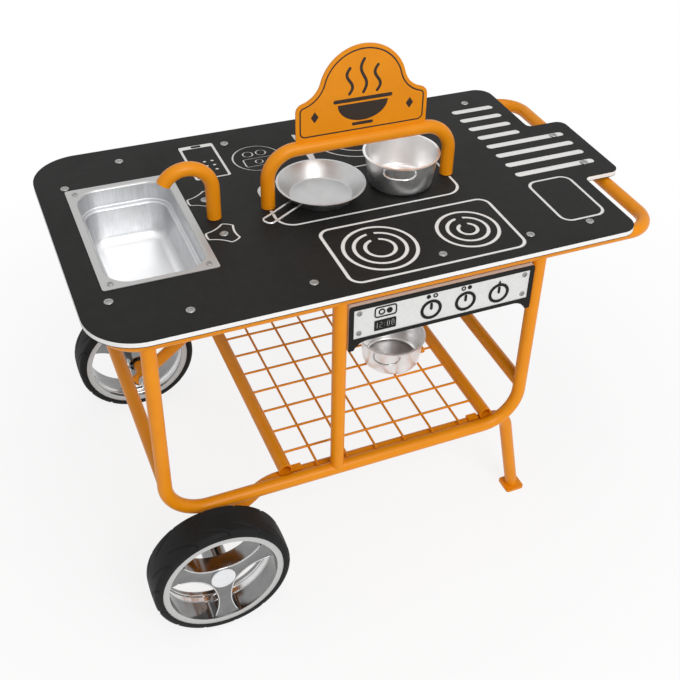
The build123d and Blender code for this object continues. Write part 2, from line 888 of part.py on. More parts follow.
# Sign: a sheet on the arch's bar, with a dome between two scooped shoulders
shoulder_centre = (sign_width / 2 - sign_shoulder, sign_shoulder_height)
dome_centre = (0.0, sign_dome_height)
to_dome = (dome_centre[0] - shoulder_centre[0], dome_centre[1] - shoulder_centre[1])
between = hypot(*to_dome)
from_shoulder = sign_shoulder + sign_scoop
from_dome = sign_dome + sign_scoop
along_line = (from_shoulder**2 - from_dome**2 + between**2) / (2 * between)
off_line = sqrt(from_shoulder**2 - along_line**2)
unit = (to_dome[0] / between, to_dome[1] / between)
scoop_centre = (
    shoulder_centre[0] + along_line * unit[0] + off_line * unit[1],
    shoulder_centre[1] + along_line * unit[1] - off_line * unit[0],
)
shoulder_turn = (
    shoulder_centre[0] + sign_shoulder * (scoop_centre[0] - shoulder_centre[0]) / from_shoulder,
    shoulder_centre[1] + sign_shoulder * (scoop_centre[1] - shoulder_centre[1]) / from_shoulder,
)
dome_turn = (
    sign_dome * (scoop_centre[0] - dome_centre[0]) / from_dome,
    dome_centre[1] + sign_dome * (scoop_centre[1] - dome_centre[1]) / from_dome,
)

with BuildPart() as sign_plate:
    with BuildSketch(Plane(origin=(arch_line, 0, deck_height), x_dir=(1, 0, 0), z_dir=(0, -1, 0))):
        with BuildLine():
            Line((0, arch_height), (sign_width / 2, arch_height))
            edge = Line((sign_width / 2, arch_height), (sign_width / 2, sign_shoulder_height))
            RadiusArc(edge @ 1, shoulder_turn, -sign_shoulder)
            RadiusArc(shoulder_turn, dome_turn, sign_scoop)
            RadiusArc(dome_turn, (0, sign_dome_height + sign_dome), -sign_dome)
            mirror(about=Plane.YZ)
        make_face()
    extrude(amount=sign_sheet / 2, both=True)
    add(arch_relief, mode=Mode.SUBTRACT)

# Control panel: the same board, with its front skin cleared in a window
panel_left = post_line + tube / 2 + weld_gap
panel_right = right_leg - tube / 2 - weld_gap
panel_length = panel_right - panel_left
panel_middle = (panel_left + panel_right) / 2
panel_top = loop_level - tube / 2 - panel_below_loop
panel_drop = panel_height + panel_tab_drop
panel_front = front_edge + panel_set_back
panel_plane = Plane(origin=(panel_middle, panel_front, panel_top), x_dir=(1, 0, 0), z_dir=(0, -1, 0))
panel_window_length = panel_length - 2 * panel_side_border
panel_window_height = panel_height - panel_top_border - panel_low_border
panel_screw_places = [
    (side * (panel_length / 2 - panel_screw_inset), level)
    for side in (-1, 1)
    for level in (-panel_screw_edge, panel_screw_edge - panel_height)
]
panel_lug_places = [
    (side * (panel_length / 2 + weld_gap + tube / 2 - panel_lug_reach / 2), level)
    for side in (-1, 1)
    for level in (-panel_screw_edge, panel_screw_edge - panel_height)
]

with BuildSketch() as panel_outline:
    with BuildLine():
        Line((0, 0), (panel_length / 2, 0))
        Line((panel_length / 2, 0), (panel_length / 2, -panel_drop))
        Line((panel_length / 2, -panel_drop), (panel_length / 2 - panel_tab_width, -panel_drop))
        TangentArc(
            (panel_length / 2 - panel_tab_run, -panel_height),
            (panel_length / 2 - panel_tab_width, -panel_drop),
            tangent=(1, 0),
        )
        Line((panel_length / 2 - panel_tab_run, -panel_height), (0, -panel_height))
        mirror(about=Plane.YZ)
    make_face()
    fillet(panel_outline.vertices().group_by(Axis.Y)[-1], radius=panel_top_corner)
    with Locations(*panel_screw_places):
        Circle(small_screw_hole / 2, mode=Mode.SUBTRACT)

with BuildPart() as panel_front_skin:
    with BuildSketch(panel_plane):
        add(panel_outline.sketch)
        with Locations((0, -panel_top_border)):
            Rectangle(
                panel_window_length,
                panel_window_height,
                align=(Align.CENTER, Align.MAX),
                mode=Mode.SUBTRACT,
            )
    extrude(amount=-board_skin)

with BuildPart() as panel_core:
    with BuildSketch(panel_plane.offset(-board_skin)):
        add(panel_outline.sketch)
    extrude(amount=-board_core)

with BuildPart() as panel_back_skin:
    with BuildSketch(panel_plane.offset(-board_skin - board_core)):
        add(panel_outline.sketch)
    extrude(amount=-board_skin)

with BuildPart() as panel_lugs:
    with BuildSketch(panel_plane.offset(-board - seat_gap)):
        with Locations(*panel_lug_places):
            Rectangle(panel_lug_reach, panel_lug_height)
        with Locations(*panel_screw_places):
            Circle(small_screw_hole / 2, mode=Mode.SUBTRACT)
    extrude(amount=-lug_thickness)
    add(post_relief, mode=Mode.SUBTRACT)
    add(side_relief, mode=Mode.SUBTRACT)

with BuildPart() as panel_screws:
    with BuildSketch(panel_plane.offset(seat_gap - board_skin)):
        with Locations(*panel_screw_places):
            Circle(small_screw_head / 2)
    extrude(amount=small_screw_head_height)
    chamfer(panel_screws.faces().sort_by(Axis.Y)[0].edges(), length=screw_head_edge)
    with BuildSketch(panel_plane.offset(seat_gap - board_skin)):
        with Locations(*panel_screw_places):
            Circle(small_screw_shank / 2)
    extrude(amount=-(board + lug_thickness))

# Wheel: distances along the axle are measured outward from the wheel's middle
wheel_line = side_line - tube / 2 - wheel_gap - tyre_width / 2
wheel_centre = (axle_line, wheel_line, axle_level)
wheel_plane = Plane(origin=wheel_centre, x_dir=(1, 0, 0), z_dir=(0, -1, 0))
wheel_section = Plane(origin=wheel_centre, x_dir=(1, 0, 0), z_dir=(0, 0, -1))
wheel_axis = Axis(wheel_centre, (0, -1, 0))
tyre_half = tyre_width / 2
tyre_radius = wheel_diameter / 2
seat_radius = tyre_radius - tyre_height
rim_half = tyre_half - rim_recess
lip_radius = seat_radius - rim_lip
barrel_radius = seat_radius - rim_wall
spoke_front = rim_half - spoke_front_set_back
hub_front = spoke_front - spoke_dish
spoke_back = hub_front - spoke_depth
hub_back = -tyre_half - hub_overhang
pocket_floor = hub_front - hub_pocket_depth
hub_radius = hub_diameter / 2
bush_bore = axle_diameter / 2 + running_fit
sleeve_front = hub_back - bush_flange_thickness - end_float
carriage_depth = wheel_line - carriage_line
sleeve_back = carriage_depth - tube / 2 - sleeve_overhang
washer_back = sleeve_back - seat_gap - washer_thickness
nut_back = washer_back - seat_gap - nut_height
head_washer = pocket_floor + bush_flange_thickness + end_float
head_seat = head_washer + washer_thickness + seat_gap

with BuildPart() as front_tyre:
    with BuildSketch(wheel_section) as tyre_profile:
        with Locations(((seat_radius + weld_gap + tyre_radius) / 2, 0)):
            Rectangle(tyre_radius - seat_radius - weld_gap, tyre_width)
        fillet(tyre_profile.vertices().group_by(Axis.X)[-1], radius=tyre_shoulder)
    revolve(axis=wheel_axis)

with BuildPart() as front_rim:
    with BuildSketch(wheel_section):
        with BuildLine():
            Polyline(
                (seat_radius, -rim_half),
                (seat_radius, rim_half),
                (lip_radius, rim_half),
                (lip_radius, rim_half - rim_lip_depth),
                (barrel_radius, rim_half - rim_lip_depth),
                (barrel_radius, rim_lip_depth - rim_half),
                (lip_radius, rim_lip_depth - rim_half),
                (lip_radius, -rim_half),
                close=True,
            )
        make_face()
        with BuildLine():
            Polyline(
                (barrel_radius + rim_wall / 2, spoke_back),
                (barrel_radius + rim_wall / 2, spoke_front),
                (lip_radius, spoke_front),
                (hub_radius, hub_front),
                (hub_pocket / 2, hub_front),
                (hub_pocket / 2, pocket_floor),
                (bush_diameter / 2, pocket_floor),
                (bush_diameter / 2, hub_back),
                (hub_radius, hub_back),
                (hub_radius, spoke_back),
                close=True,
            )
        make_face()
    revolve(axis=wheel_axis)
    with BuildSketch(wheel_plane.offset(rim_half)) as windows:
        with PolarLocations(window_from_axle, spoke_count, start_angle=window_first_angle):
            Circle(window_radius)
        Circle(lip_radius, mode=Mode.INTERSECT)
        fillet(windows.vertices(), radius=window_corner)
    extrude(amount=-tyre_width, mode=Mode.SUBTRACT)
    with BuildSketch(wheel_plane.offset(hub_back)) as hub_recess:
        Circle(hub_radius - hub_wall)
        Circle(hub_core / 2, mode=Mode.SUBTRACT)
        with PolarLocations(0, hub_rib_count):
            Rectangle(hub_diameter, hub_rib, mode=Mode.SUBTRACT)
    extrude(amount=hub_recess_depth, mode=Mode.SUBTRACT)

with BuildPart() as front_bushes:
    with BuildSketch(wheel_section):
        with BuildLine():
            Polyline(
                (bush_bore, pocket_floor + bush_flange_thickness),
                (bush_flange / 2, pocket_floor + bush_flange_thickness),
                (bush_flange / 2, pocket_floor + seat_gap),
                (bush_diameter / 2 - weld_gap, pocket_floor + seat_gap),
                (bush_diameter / 2 - weld_gap, pocket_floor - bush_length),
                (bush_bore, pocket_floor - bush_length),
                close=True,
            )
        make_face()
        with BuildLine():
            Polyline(
                (bush_bore, hub_back - bush_flange_thickness),
                (bush_flange / 2, hub_back - bush_flange_thickness),
                (bush_flange / 2, hub_back - seat_gap),
                (bush_diameter / 2 - weld_gap, hub_back - seat_gap),
                (bush_diameter / 2 - weld_gap, hub_back + bush_length),
                (bush_bore, hub_back + bush_length),
                close=True,
            )
        make_face()
    revolve(axis=wheel_axis)

with BuildPart() as front_hub_cap:
    with BuildSketch(wheel_plane.offset(hub_front + seat_gap)):
        Circle(cap_diameter / 2)
    extrude(amount=cap_thickness)
    fillet(front_hub_cap.faces().sort_by(Axis.Y)[0].edges(), radius=cap_edge)
    with BuildSketch(wheel_plane.offset(hub_front + seat_gap)):
        Circle(hub_pocket / 2 - weld_gap)
        Circle(hub_pocket / 2 - weld_gap - cap_skirt_wall, mode=Mode.SUBTRACT)
    extrude(amount=-cap_skirt)

with BuildPart() as rear_tyre:
    mirror(front_tyre.part, about=Plane.XZ)

with BuildPart() as rear_rim:
    mirror(front_rim.part, about=Plane.XZ)

with BuildPart() as rear_bushes:
    mirror(front_bushes.part, about=Plane.XZ)

with BuildPart() as rear_hub_cap:
    mirror(front_hub_cap.part, about=Plane.XZ)

# Axles: a bolt through a sleeve that is welded across the strut
with BuildPart() as axle_sleeves:
    with BuildSketch(wheel_plane.offset(sleeve_back)):
        Circle(sleeve_diameter / 2)
        Circle(axle_diameter / 2 + weld_gap, mode=Mode.SUBTRACT)
    extrude(amount=sleeve_front - sleeve_back)
    mirror(about=Plane.XZ)

with BuildPart() as axle_bolts:
    with BuildSketch(wheel_plane.offset(head_seat)):
        Circle(axle_head / 2)
    extrude(amount=axle_head_height)
    with BuildSketch(wheel_plane.offset(head_seat)):
        Circle(axle_diameter / 2)
    extrude(amount=nut_back - axle_tail - head_seat)
    mirror(about=Plane.XZ)

with BuildPart() as axle_washers:
    for washer_seat in (head_washer, washer_back):
        with BuildSketch(wheel_plane.offset(washer_seat)):
            Circle(washer_diameter / 2)
            Circle(axle_diameter / 2 + weld_gap, mode=Mode.SUBTRACT)
        extrude(amount=washer_thickness)
    mirror(about=Plane.XZ)

with BuildPart() as axle_nuts:
    with BuildSketch(wheel_plane.offset(nut_back)):
        RegularPolygon(nut_across / 2, hexagon_sides, major_radius=False)
        Circle(axle_diameter / 2 + weld_gap, mode=Mode.SUBTRACT)
    extrude(amount=nut_height)
    mirror(about=Plane.XZ)

# Cookware on the worktop and on the shelf
deck_rest = deck_height + rest_gap
shelf_rest = shelf_level + wire / 2 + rest_gap
pan_place = (left_edge + pan_from_left, pan_from_middle)
pot_place = (left_edge + pot_from_left, pot_from_middle)
small_pot_place = (left_edge + small_pot_from_left, small_pot_from_middle)
pan_fill = vessel_form(pan_place, deck_rest, pan_base, pan_mouth, pan_height)
pot_fill = vessel_form(pot_place, deck_rest, pot_base, pot_mouth, pot_height)
small_pot_fill = vessel_form(small_pot_place, shelf_rest, small_pot_base, small_pot_mouth, small_pot_height)

with BuildPart() as pan_body:
    with BuildSketch(vessel_plane(pan_place, deck_rest)):
        add(vessel_section(pan_base, pan_mouth, pan_height, pan_round))
    revolve(axis=Axis((pan_place[0], pan_place[1], 0), (0, 0, 1)))

with BuildPart() as pot_body:
    with BuildSketch(vessel_plane(pot_place, deck_rest)):
        add(vessel_section(pot_base, pot_mouth, pot_height, pot_round))
    revolve(axis=Axis((pot_place[0], pot_place[1], 0), (0, 0, 1)))

with BuildPart() as small_pot_body:
    with BuildSketch(vessel_plane(small_pot_place, shelf_rest)):
        add(vessel_section(small_pot_base, small_pot_mouth, small_pot_height, pot_round))
    revolve(axis=Axis((small_pot_place[0], small_pot_place[1], 0), (0, 0, 1)))

pan_loop = wire_loop(
    pan_place,
    deck_rest + pan_handle_height,
    pan_handle_angle,
    pan_handle_half_width,
    pan_base,
    pan_handle_reach,
    pan_handle_bend,
)
pot_loops = [
    wire_loop(
        pot_place,
        deck_rest + pot_height - pot_handle_drop,
        pot_handle_angle + turn,
        pot_handle_half_width,
        pot_base - pot_handle_half_width,
        pot_handle_reach,
        pot_handle_bend,
    )
    for turn in (0, half_turn)
]
small_pot_loops = [
    wire_loop(
        small_pot_place,
        shelf_rest + small_pot_height - pot_handle_drop,
        small_pot_handle_angle + turn,
        small_pot_handle_half_width,
        small_pot_base - small_pot_handle_half_width,
        small_pot_handle_reach,
        pot_handle_bend,
    )
    for turn in (0, half_turn)
]

with BuildPart() as pan_handle:
    add(pan_loop)
    add(pan_fill, mode=Mode.SUBTRACT)

with BuildPart() as pot_handles:
    add(pot_loops)
    add(pot_fill, mode=Mode.SUBTRACT)

with BuildPart() as small_pot_handles:
    add(small_pot_loops)
    add(small_pot_fill, mode=Mode.SUBTRACT)

pieces = {
    "deck_top_skin": deck_top_skin,
    "deck_core": deck_core,
    "deck_bottom_skin": deck_bottom_skin,
    "deck_lugs": deck_lugs,
    "deck_screws": deck_screws,
    "sink_bowl": sink_bowl,
    "sink_screws": sink_screws,
    "faucet_tube": faucet_tube,
    "faucet_plate": faucet_plate,
    "arch_tube": arch_tube,
    "arch_plates": arch_plates,
    "arch_plate_screws": arch_plate_screws,
    "sign_plate": sign_plate,
    "panel_front_skin": panel_front_skin,
    "panel_core": panel_core,
    "panel_back_skin": panel_back_skin,
    "panel_lugs": panel_lugs,
    "panel_screws": panel_screws,
    "top_loop": top_loop,
    "front_side_frame": front_side_frame,
    "rear_side_frame": rear_side_frame,
    "front_post": front_post,
    "rear_post": rear_post,
    "left_cross_tube": left_cross_tube,
    "right_cross_tube": right_cross_tube,
    "front_undercarriage": front_undercarriage,
    "rear_undercarriage": rear_undercarriage,
    "foot_plates": foot_plates,
    "strut_plugs": strut_plugs,
    "shelf_left_tube": shelf_left_tube,
    "shelf_right_tube": shelf_right_tube,
    "shelf_mesh": shelf_mesh,
    "shelf_lugs": shelf_lugs,
    "axle_sleeves": axle_sleeves,
    "axle_bolts": axle_bolts,
    "axle_washers": axle_washers,
    "axle_nuts": axle_nuts,
    "front_tyre": front_tyre,
    "front_rim": front_rim,
    "front_bushes": front_bushes,
    "front_hub_cap": front_hub_cap,
    "rear_tyre": rear_tyre,
    "rear_rim": rear_rim,
    "rear_bushes": rear_bushes,
    "rear_hub_cap": rear_hub_cap,
    "pan_body": pan_body,
    "pan_handle": pan_handle,
    "pot_body": pot_body,
    "pot_handles": pot_handles,
    "small_pot_body": small_pot_body,
    "small_pot_handles": small_pot_handles,
}

os.makedirs("parts", exist_ok=True)
for label, piece in pieces.items():
    piece.part.label = label
    export_step(piece.part, f"parts/{label}.step")
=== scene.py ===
"""Looks of a child-size street food cart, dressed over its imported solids.

Sizes are in millimetres in the frame of the solids, and become metres when a mesh is made.
"""

import logging
import math
from collections.abc import Sequence
from dataclasses import dataclass, field, replace
from enum import Enum
from typing import ClassVar

import bmesh
import bpy
import numpy as np
from mathutils import Matrix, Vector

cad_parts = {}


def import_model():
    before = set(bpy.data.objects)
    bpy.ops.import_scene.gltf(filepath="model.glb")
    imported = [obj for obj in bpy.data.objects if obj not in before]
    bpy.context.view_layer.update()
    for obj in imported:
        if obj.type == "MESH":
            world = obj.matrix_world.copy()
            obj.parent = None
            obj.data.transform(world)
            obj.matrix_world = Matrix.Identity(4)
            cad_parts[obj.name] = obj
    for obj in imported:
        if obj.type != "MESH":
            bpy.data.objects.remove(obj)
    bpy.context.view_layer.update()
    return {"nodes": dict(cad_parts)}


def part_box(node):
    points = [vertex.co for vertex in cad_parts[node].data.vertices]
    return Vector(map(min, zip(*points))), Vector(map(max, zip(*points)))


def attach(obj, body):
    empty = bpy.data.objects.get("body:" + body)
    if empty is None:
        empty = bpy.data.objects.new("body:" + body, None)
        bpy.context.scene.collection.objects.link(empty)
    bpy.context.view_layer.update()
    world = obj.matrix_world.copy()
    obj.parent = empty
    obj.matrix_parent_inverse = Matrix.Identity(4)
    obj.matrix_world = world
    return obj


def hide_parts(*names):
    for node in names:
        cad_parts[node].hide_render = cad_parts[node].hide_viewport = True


LOG = logging.getLogger("cart")
MM = 0.001

Array = np.ndarray
Loops = list[np.ndarray]
Grid = tuple[np.ndarray, np.ndarray]
Colour = tuple[float, float, float, float]
Mesh, Piece = bpy.types.Mesh, bpy.types.Object
Tree, Node, Socket = bpy.types.NodeTree, bpy.types.Node, bpy.types.NodeSocket

LYING = np.eye(3)
STANDING = np.array([(1, 0, 0), (0, 0, -1), (0, 1, 0)], float)


class Cap(Enum):
    """How an open routed line ends."""

    ROUND = "round"
    FLAT = "flat"


class Effect(Enum):
    """Surface effects that finishes share, each one a node group: its name, inputs and outputs."""

    MOTTLE = ("mottle", ("Vector", "Scale", "Colour", "Shade", "Amount"), ("Colour",))
    RELIEF = ("fine_relief", ("Vector", "Scale", "Roughness", "Swing"), ("Height", "Roughness"))
    DRAWN = ("drawn_streaks", ("Vector", "Stretch", "Roughness", "Swing"), ("Height", "Roughness"))
    TURNED = ("turned_marks", ("Vector", "Pitch", "Roughness", "Swing"), ("Height", "Roughness"))
    SMUDGE = ("smudges", ("Vector", "Scale", "Roughness", "Amount"), ("Roughness",))

    @property
    def measure(self) -> str:
        """Name of the input that says how fine the effect is."""
        return self.value[1][1]


# ---------------------------------------------------------------- flat outlines


def unit(vectors: Array) -> Array:
    """Vectors on the last axis, each divided by its length."""
    return vectors / np.linalg.norm(vectors, axis=-1, keepdims=True)


def polar(angle: Array) -> Array:
    """Cosine and sine of angles in radians, on a last axis."""
    return np.stack([np.cos(angle), np.sin(angle)], -1)


def arc(centre: Sequence[float], radius: float, start: float, end: float, count: int) -> Array:
    """Points of a circular arc from one angle to another: centre plus radius times (cosine, sine)."""
    return np.asarray(centre, float) + radius * polar(np.radians(np.linspace(start, end, count)))


def circle(centre: Sequence[float], radius: float, count: int = 72) -> Array:
    """A closed ring of points at one radius about a centre."""
    return arc(centre, radius, 0.0, 360.0, count + 1)[:-1]


def rounded_outline(corners: Sequence[Sequence[float]], radii: Sequence[float], count: int = 14) -> Array:
    """A closed outline with each corner turned into an arc.

    The arc starts at radius * tan(half turn) before the corner, and its middle lies one radius to the
    inner side of that point.

    Args:
        corners: corner points in order.
        radii: radius at each corner.
        count: points on each arc.

    Returns:
        Array of shape (corners * count, 2).
    """
    points = np.asarray(corners, float)
    radius = np.asarray(radii, float)[:, None]
    into = unit(points - np.roll(points, 1, axis=0))
    out = np.roll(into, -1, axis=0)
    turn = np.arctan2(into[:, 0] * out[:, 1] - into[:, 1] * out[:, 0], (into * out).sum(1))[:, None]
    normal = into[:, ::-1] * (-1.0, 1.0) * np.sign(turn)
    centre = points - radius * np.tan(np.abs(turn) / 2) * into + radius * normal
    first = np.arctan2(-normal[:, 1], -normal[:, 0])[:, None]
    ring = polar(first + turn * np.linspace(0.0, 1.0, count))
    return (centre[:, None, :] + radius[:, :, None] * ring).reshape(-1, 2)


def plain_box(left: float, low: float, right: float, high: float) -> Array:
    """A rectangle between two corners."""
    return np.array([(left, low), (right, low), (right, high), (left, high)])


def rounded_box(left: float, low: float, right: float, high: float, radius: float) -> Array:
    """A rectangle between two corners, with its corners rounded to one radius."""
    return rounded_outline(plain_box(left, low, right, high), (radius,) * 4)


def side_steps(path: Array, closed: bool) -> Array:
    """Unit normals of a path: the direction between each point's two neighbours, turned left."""
    along = np.roll(path, -1, axis=0) - np.roll(path, 1, axis=0) if closed else np.gradient(path, axis=0)
    return unit(along)[:, ::-1] * (-1.0, 1.0)


def routed_ring(path: Array, width: float) -> Loops:
    """A closed line of one width: the path moved out and in by half the width along its normals."""
    step = side_steps(path, True) * width / 2
    return [path + step, path - step]


def routed_box(left: float, low: float, right: float, high: float, radius: float, width: float) -> Loops:
    """A closed line round a rounded box."""
    return routed_ring(rounded_box(left, low, right, high, radius), width)


def routed_circle(x: float, y: float, radius: float, width: float, count: int = 72) -> Loops:
    """A closed line round a circle."""
    return routed_ring(circle((x, y), radius, count), width)


def routed_line(path: Array, width: float, cap: Cap = Cap.ROUND) -> Loops:
    """An open line of one width: the path moved to both sides along its normals and joined at its ends.

    Args:
        path: points of shape (n, 2) along the middle of the line.
        width: width of the line.
        cap: how both ends close.

    Returns:
        One closed loop.
    """
    step = side_steps(path, False) * width / 2
    turn = np.radians(np.linspace(90.0, -90.0, 13))[1:-1, None]
    ends = []
    for foot, side in ((path[-1], step[-1]), (path[0], -step[0])):
        ahead = side[::-1] * (1.0, -1.0)
        round_end = foot + np.sin(turn) * side + np.cos(turn) * ahead
        ends.append(round_end if cap is Cap.ROUND else np.empty((0, 2)))
    return [np.concatenate([path + step, ends[0], (path - step)[::-1], ends[1]])]


def open_ring(centre: Sequence[float], radius: float, width: float, gap: float) -> Loops:
    """A ring that is open at its top: both edges stop where they meet the sides of an upright gap.

    Args:
        centre: middle of the ring.
        radius: radius of the ring's middle line.
        width: width of the ring's line.
        gap: width of the opening.

    Returns:
        One closed loop.
    """
    edges = []
    for reach in (radius + width / 2, radius - width / 2):
        lean = math.degrees(math.asin(gap / 2 / reach))
        edges.append(arc(centre, reach, 90.0 + lean, 450.0 - lean, 72))
    return [np.concatenate([edges[0], edges[1][::-1]])]


# ---------------------------------------------------------------- meshes


def grid_quads(rows: int, columns: int, wrap_rows: bool = False, wrap_columns: bool = True) -> Array:
    """Corner numbers of a grid's quads, the last row or column joined to the first where it wraps.

    Args:
        rows: number of rows of points.
        columns: number of columns of points.
        wrap_rows: whether the rows close on themselves.
        wrap_columns: whether the columns close on themselves.

    Returns:
        Array of shape (quads, 4).
    """
    row = np.arange(rows if wrap_rows else rows - 1)[:, None]
    column = np.arange(columns if wrap_columns else columns - 1)[None, :]
    row_after, column_after = (row + 1) % rows, (column + 1) % columns
    corners = ((row, column), (row, column_after), (row_after, column_after), (row_after, column))
    return np.stack([across * columns + along for across, along in corners], -1).reshape(-1, 4)


def joined(grids: Sequence[Grid]) -> Grid:
    """Several grids as one: each one's corner numbers are moved on by the points before it."""
    starts = np.cumsum([0] + [len(points) for points, _ in grids])
    return np.concatenate([grid[0] for grid in grids]), np.concatenate([grid[1] + n for grid, n in zip(grids, starts)])


def new_mesh(name: str, points: Array, quads: Array, spread: Array | None = None) -> Mesh:
    """A mesh from whole arrays of points and quads.

    Args:
        name: name of the mesh.
        points: millimetres, shape (n, 3).
        quads: corner numbers, shape (m, 4).
        spread: flat-pattern coordinates of the quads' corners, shape (m * 4, 2).

    Returns:
        The mesh, with its doubles merged and its faces outward.
    """
    mesh = bpy.data.meshes.new(name)
    mesh.vertices.add(len(points))
    mesh.vertices.foreach_set("co", (points * MM).astype(np.float32).ravel())
    mesh.loops.add(quads.size)
    mesh.loops.foreach_set("vertex_index", quads.astype(np.int32).ravel())
    mesh.polygons.add(len(quads))
    mesh.polygons.foreach_set("loop_start", np.arange(0, quads.size, 4, dtype=np.int32))
    mesh.update(calc_edges=True)
    if spread is not None:
        mesh.uv_layers.new(name="pattern").data.foreach_set("uv", spread.astype(np.float32).ravel())
    return close_mesh(mesh)


def close_mesh(mesh: Mesh) -> Mesh:
    """Merges doubled points, drops collapsed faces and turns every face outward.

    Args:
        mesh: mesh to close.

    Returns:
        The same mesh.
    """
    work = bmesh.new()
    work.from_mesh(mesh)
    bmesh.ops.remove_doubles(work, verts=work.verts, dist=1e-7)
    bmesh.ops.dissolve_degenerate(work, edges=work.edges, dist=1e-8)
    bmesh.ops.recalc_face_normals(work, faces=work.faces)
    work.to_mesh(mesh)
    work.free()
    mesh.update()
    return mesh


def cut_plate(name: str, loops: Loops, thickness: float, turn: Array, place: Sequence[float]) -> Mesh:
    """A flat plate with openings and islands, filled by the even-odd rule from closed loops.

    Args:
        name: name of the mesh.
        loops: outline, openings and islands, each of shape (n, 2).
        thickness: thickness of the plate, half to each side of its own plane.
        turn: matrix of shape (3, 3) from plate to frame.
        place: the plate's origin in the frame.

    Returns:
        The mesh in its place.
    """
    curve = bpy.data.curves.new(name, "CURVE")
    curve.dimensions = "2D"
    curve.fill_mode = "BOTH"
    curve.extrude = thickness / 2
    for loop in loops:
        spline = curve.splines.new("POLY")
        spline.points.add(len(loop) - 1)
        flat = np.column_stack([loop, np.zeros(len(loop)), np.ones(len(loop))])
        spline.points.foreach_set("co", flat.astype(np.float32).ravel())
        spline.use_cyclic_u = True
    holder = bpy.data.objects.new(name, curve)
    bpy.context.scene.collection.objects.link(holder)
    graph = bpy.context.evaluated_depsgraph_get()
    mesh = bpy.data.meshes.new_from_object(holder.evaluated_get(graph))
    bpy.data.objects.remove(holder)
    bpy.data.curves.remove(curve)
    points = np.empty(len(mesh.vertices) * 3, np.float32)
    mesh.vertices.foreach_get("co", points)
    placed = (points.reshape(-1, 3).astype(float) @ turn.T + place) * MM
    mesh.vertices.foreach_set("co", placed.astype(np.float32).ravel())
    mesh.name = name
    return close_mesh(mesh)


def lathed(profile: Array, places: Array, axis: Array, lobes: Array, segments: int) -> tuple[Array, Array, Array]:
    """One turned shape at many places: each profile point goes round its axis.

    The radius is the profile's radius times (1 + lobe * cos(six times the angle)), so a ring with a lobe
    is a six-pointed star.

    Args:
        profile: radius and height of each ring, shape (k, 2).
        places: axis foot of each copy, shape (n, 3).
        axis: direction of the axis, across X.
        lobes: depth of the star at each ring, shape (k,).
        segments: points on a ring.

    Returns:
        Points of shape (n * k * segments, 3), quads, and the flat pattern (angle share, radius) of the corners.
    """
    angle = np.linspace(0.0, 2 * np.pi, segments, endpoint=False)
    radius = profile[:, :1] * (1.0 + lobes[:, None] * np.cos(6 * angle))
    first = np.array([1.0, 0.0, 0.0])
    across = radius[..., None] * (polar(angle) @ np.stack([first, np.cross(axis, first)]))
    shape = across + profile[:, 1][:, None, None] * axis
    points = (places[:, None, None, :] + shape[None]).reshape(-1, 3)
    quads = grid_quads(len(profile), segments)
    step = (np.arange(len(places)) * len(profile) * segments)[:, None, None]
    pattern = np.stack([np.broadcast_to(angle / (2 * np.pi), radius.shape), radius], -1).reshape(-1, 2)
    spread = np.broadcast_to(pattern[quads][None], (len(places), len(quads), 4, 2))
    return points, (quads[None] + step).reshape(-1, 4), spread.reshape(-1, 2)


def swept(path: Array, radius: float, segments: int = 10) -> Grid:
    """A round bead along an open path, with its ends drawn in to points.

    At each path point a ring is laid in the plane across the path: path + r * (cos * side + sin * rise),
    where r falls to nothing at both ends.

    Args:
        path: points of shape (n, 3).
        radius: radius of the bead.
        segments: points on a ring.

    Returns:
        Points and quads.
    """
    along = unit(np.gradient(path, axis=0))
    side = unit(np.cross(along, (0.0, 1.0, 0.0)))
    rise = np.cross(side, along)
    share = np.linspace(-1.0, 1.0, len(path))
    size = radius * np.sqrt(np.clip(1.0 - np.abs(share) ** 24, 0.0, 1.0))
    angle = np.linspace(0.0, 2 * np.pi, segments, endpoint=False)[None, :, None]
    ring = np.cos(angle) * side[:, None, :] + np.sin(angle) * rise[:, None, :]
    points = path[:, None, :] + size[:, None, None] * ring
    return points.reshape(-1, 3), grid_quads(len(path), segments)


# ---------------------------------------------------------------- shader parts


def linear(red: int, green: int, blue: int) -> Colour:
    """A screen colour of 0 to 255 as linear light: the power curve of the standard display."""
    share = np.array([red, green, blue], float) / 255.0
    return (*np.where(share <= 0.04045, share / 12.92, ((share + 0.055) / 1.055) ** 2.4).tolist(), 1.0)


def grey(level: float) -> Colour:
    """A grey of linear light."""
    return level, level, level, 1.0


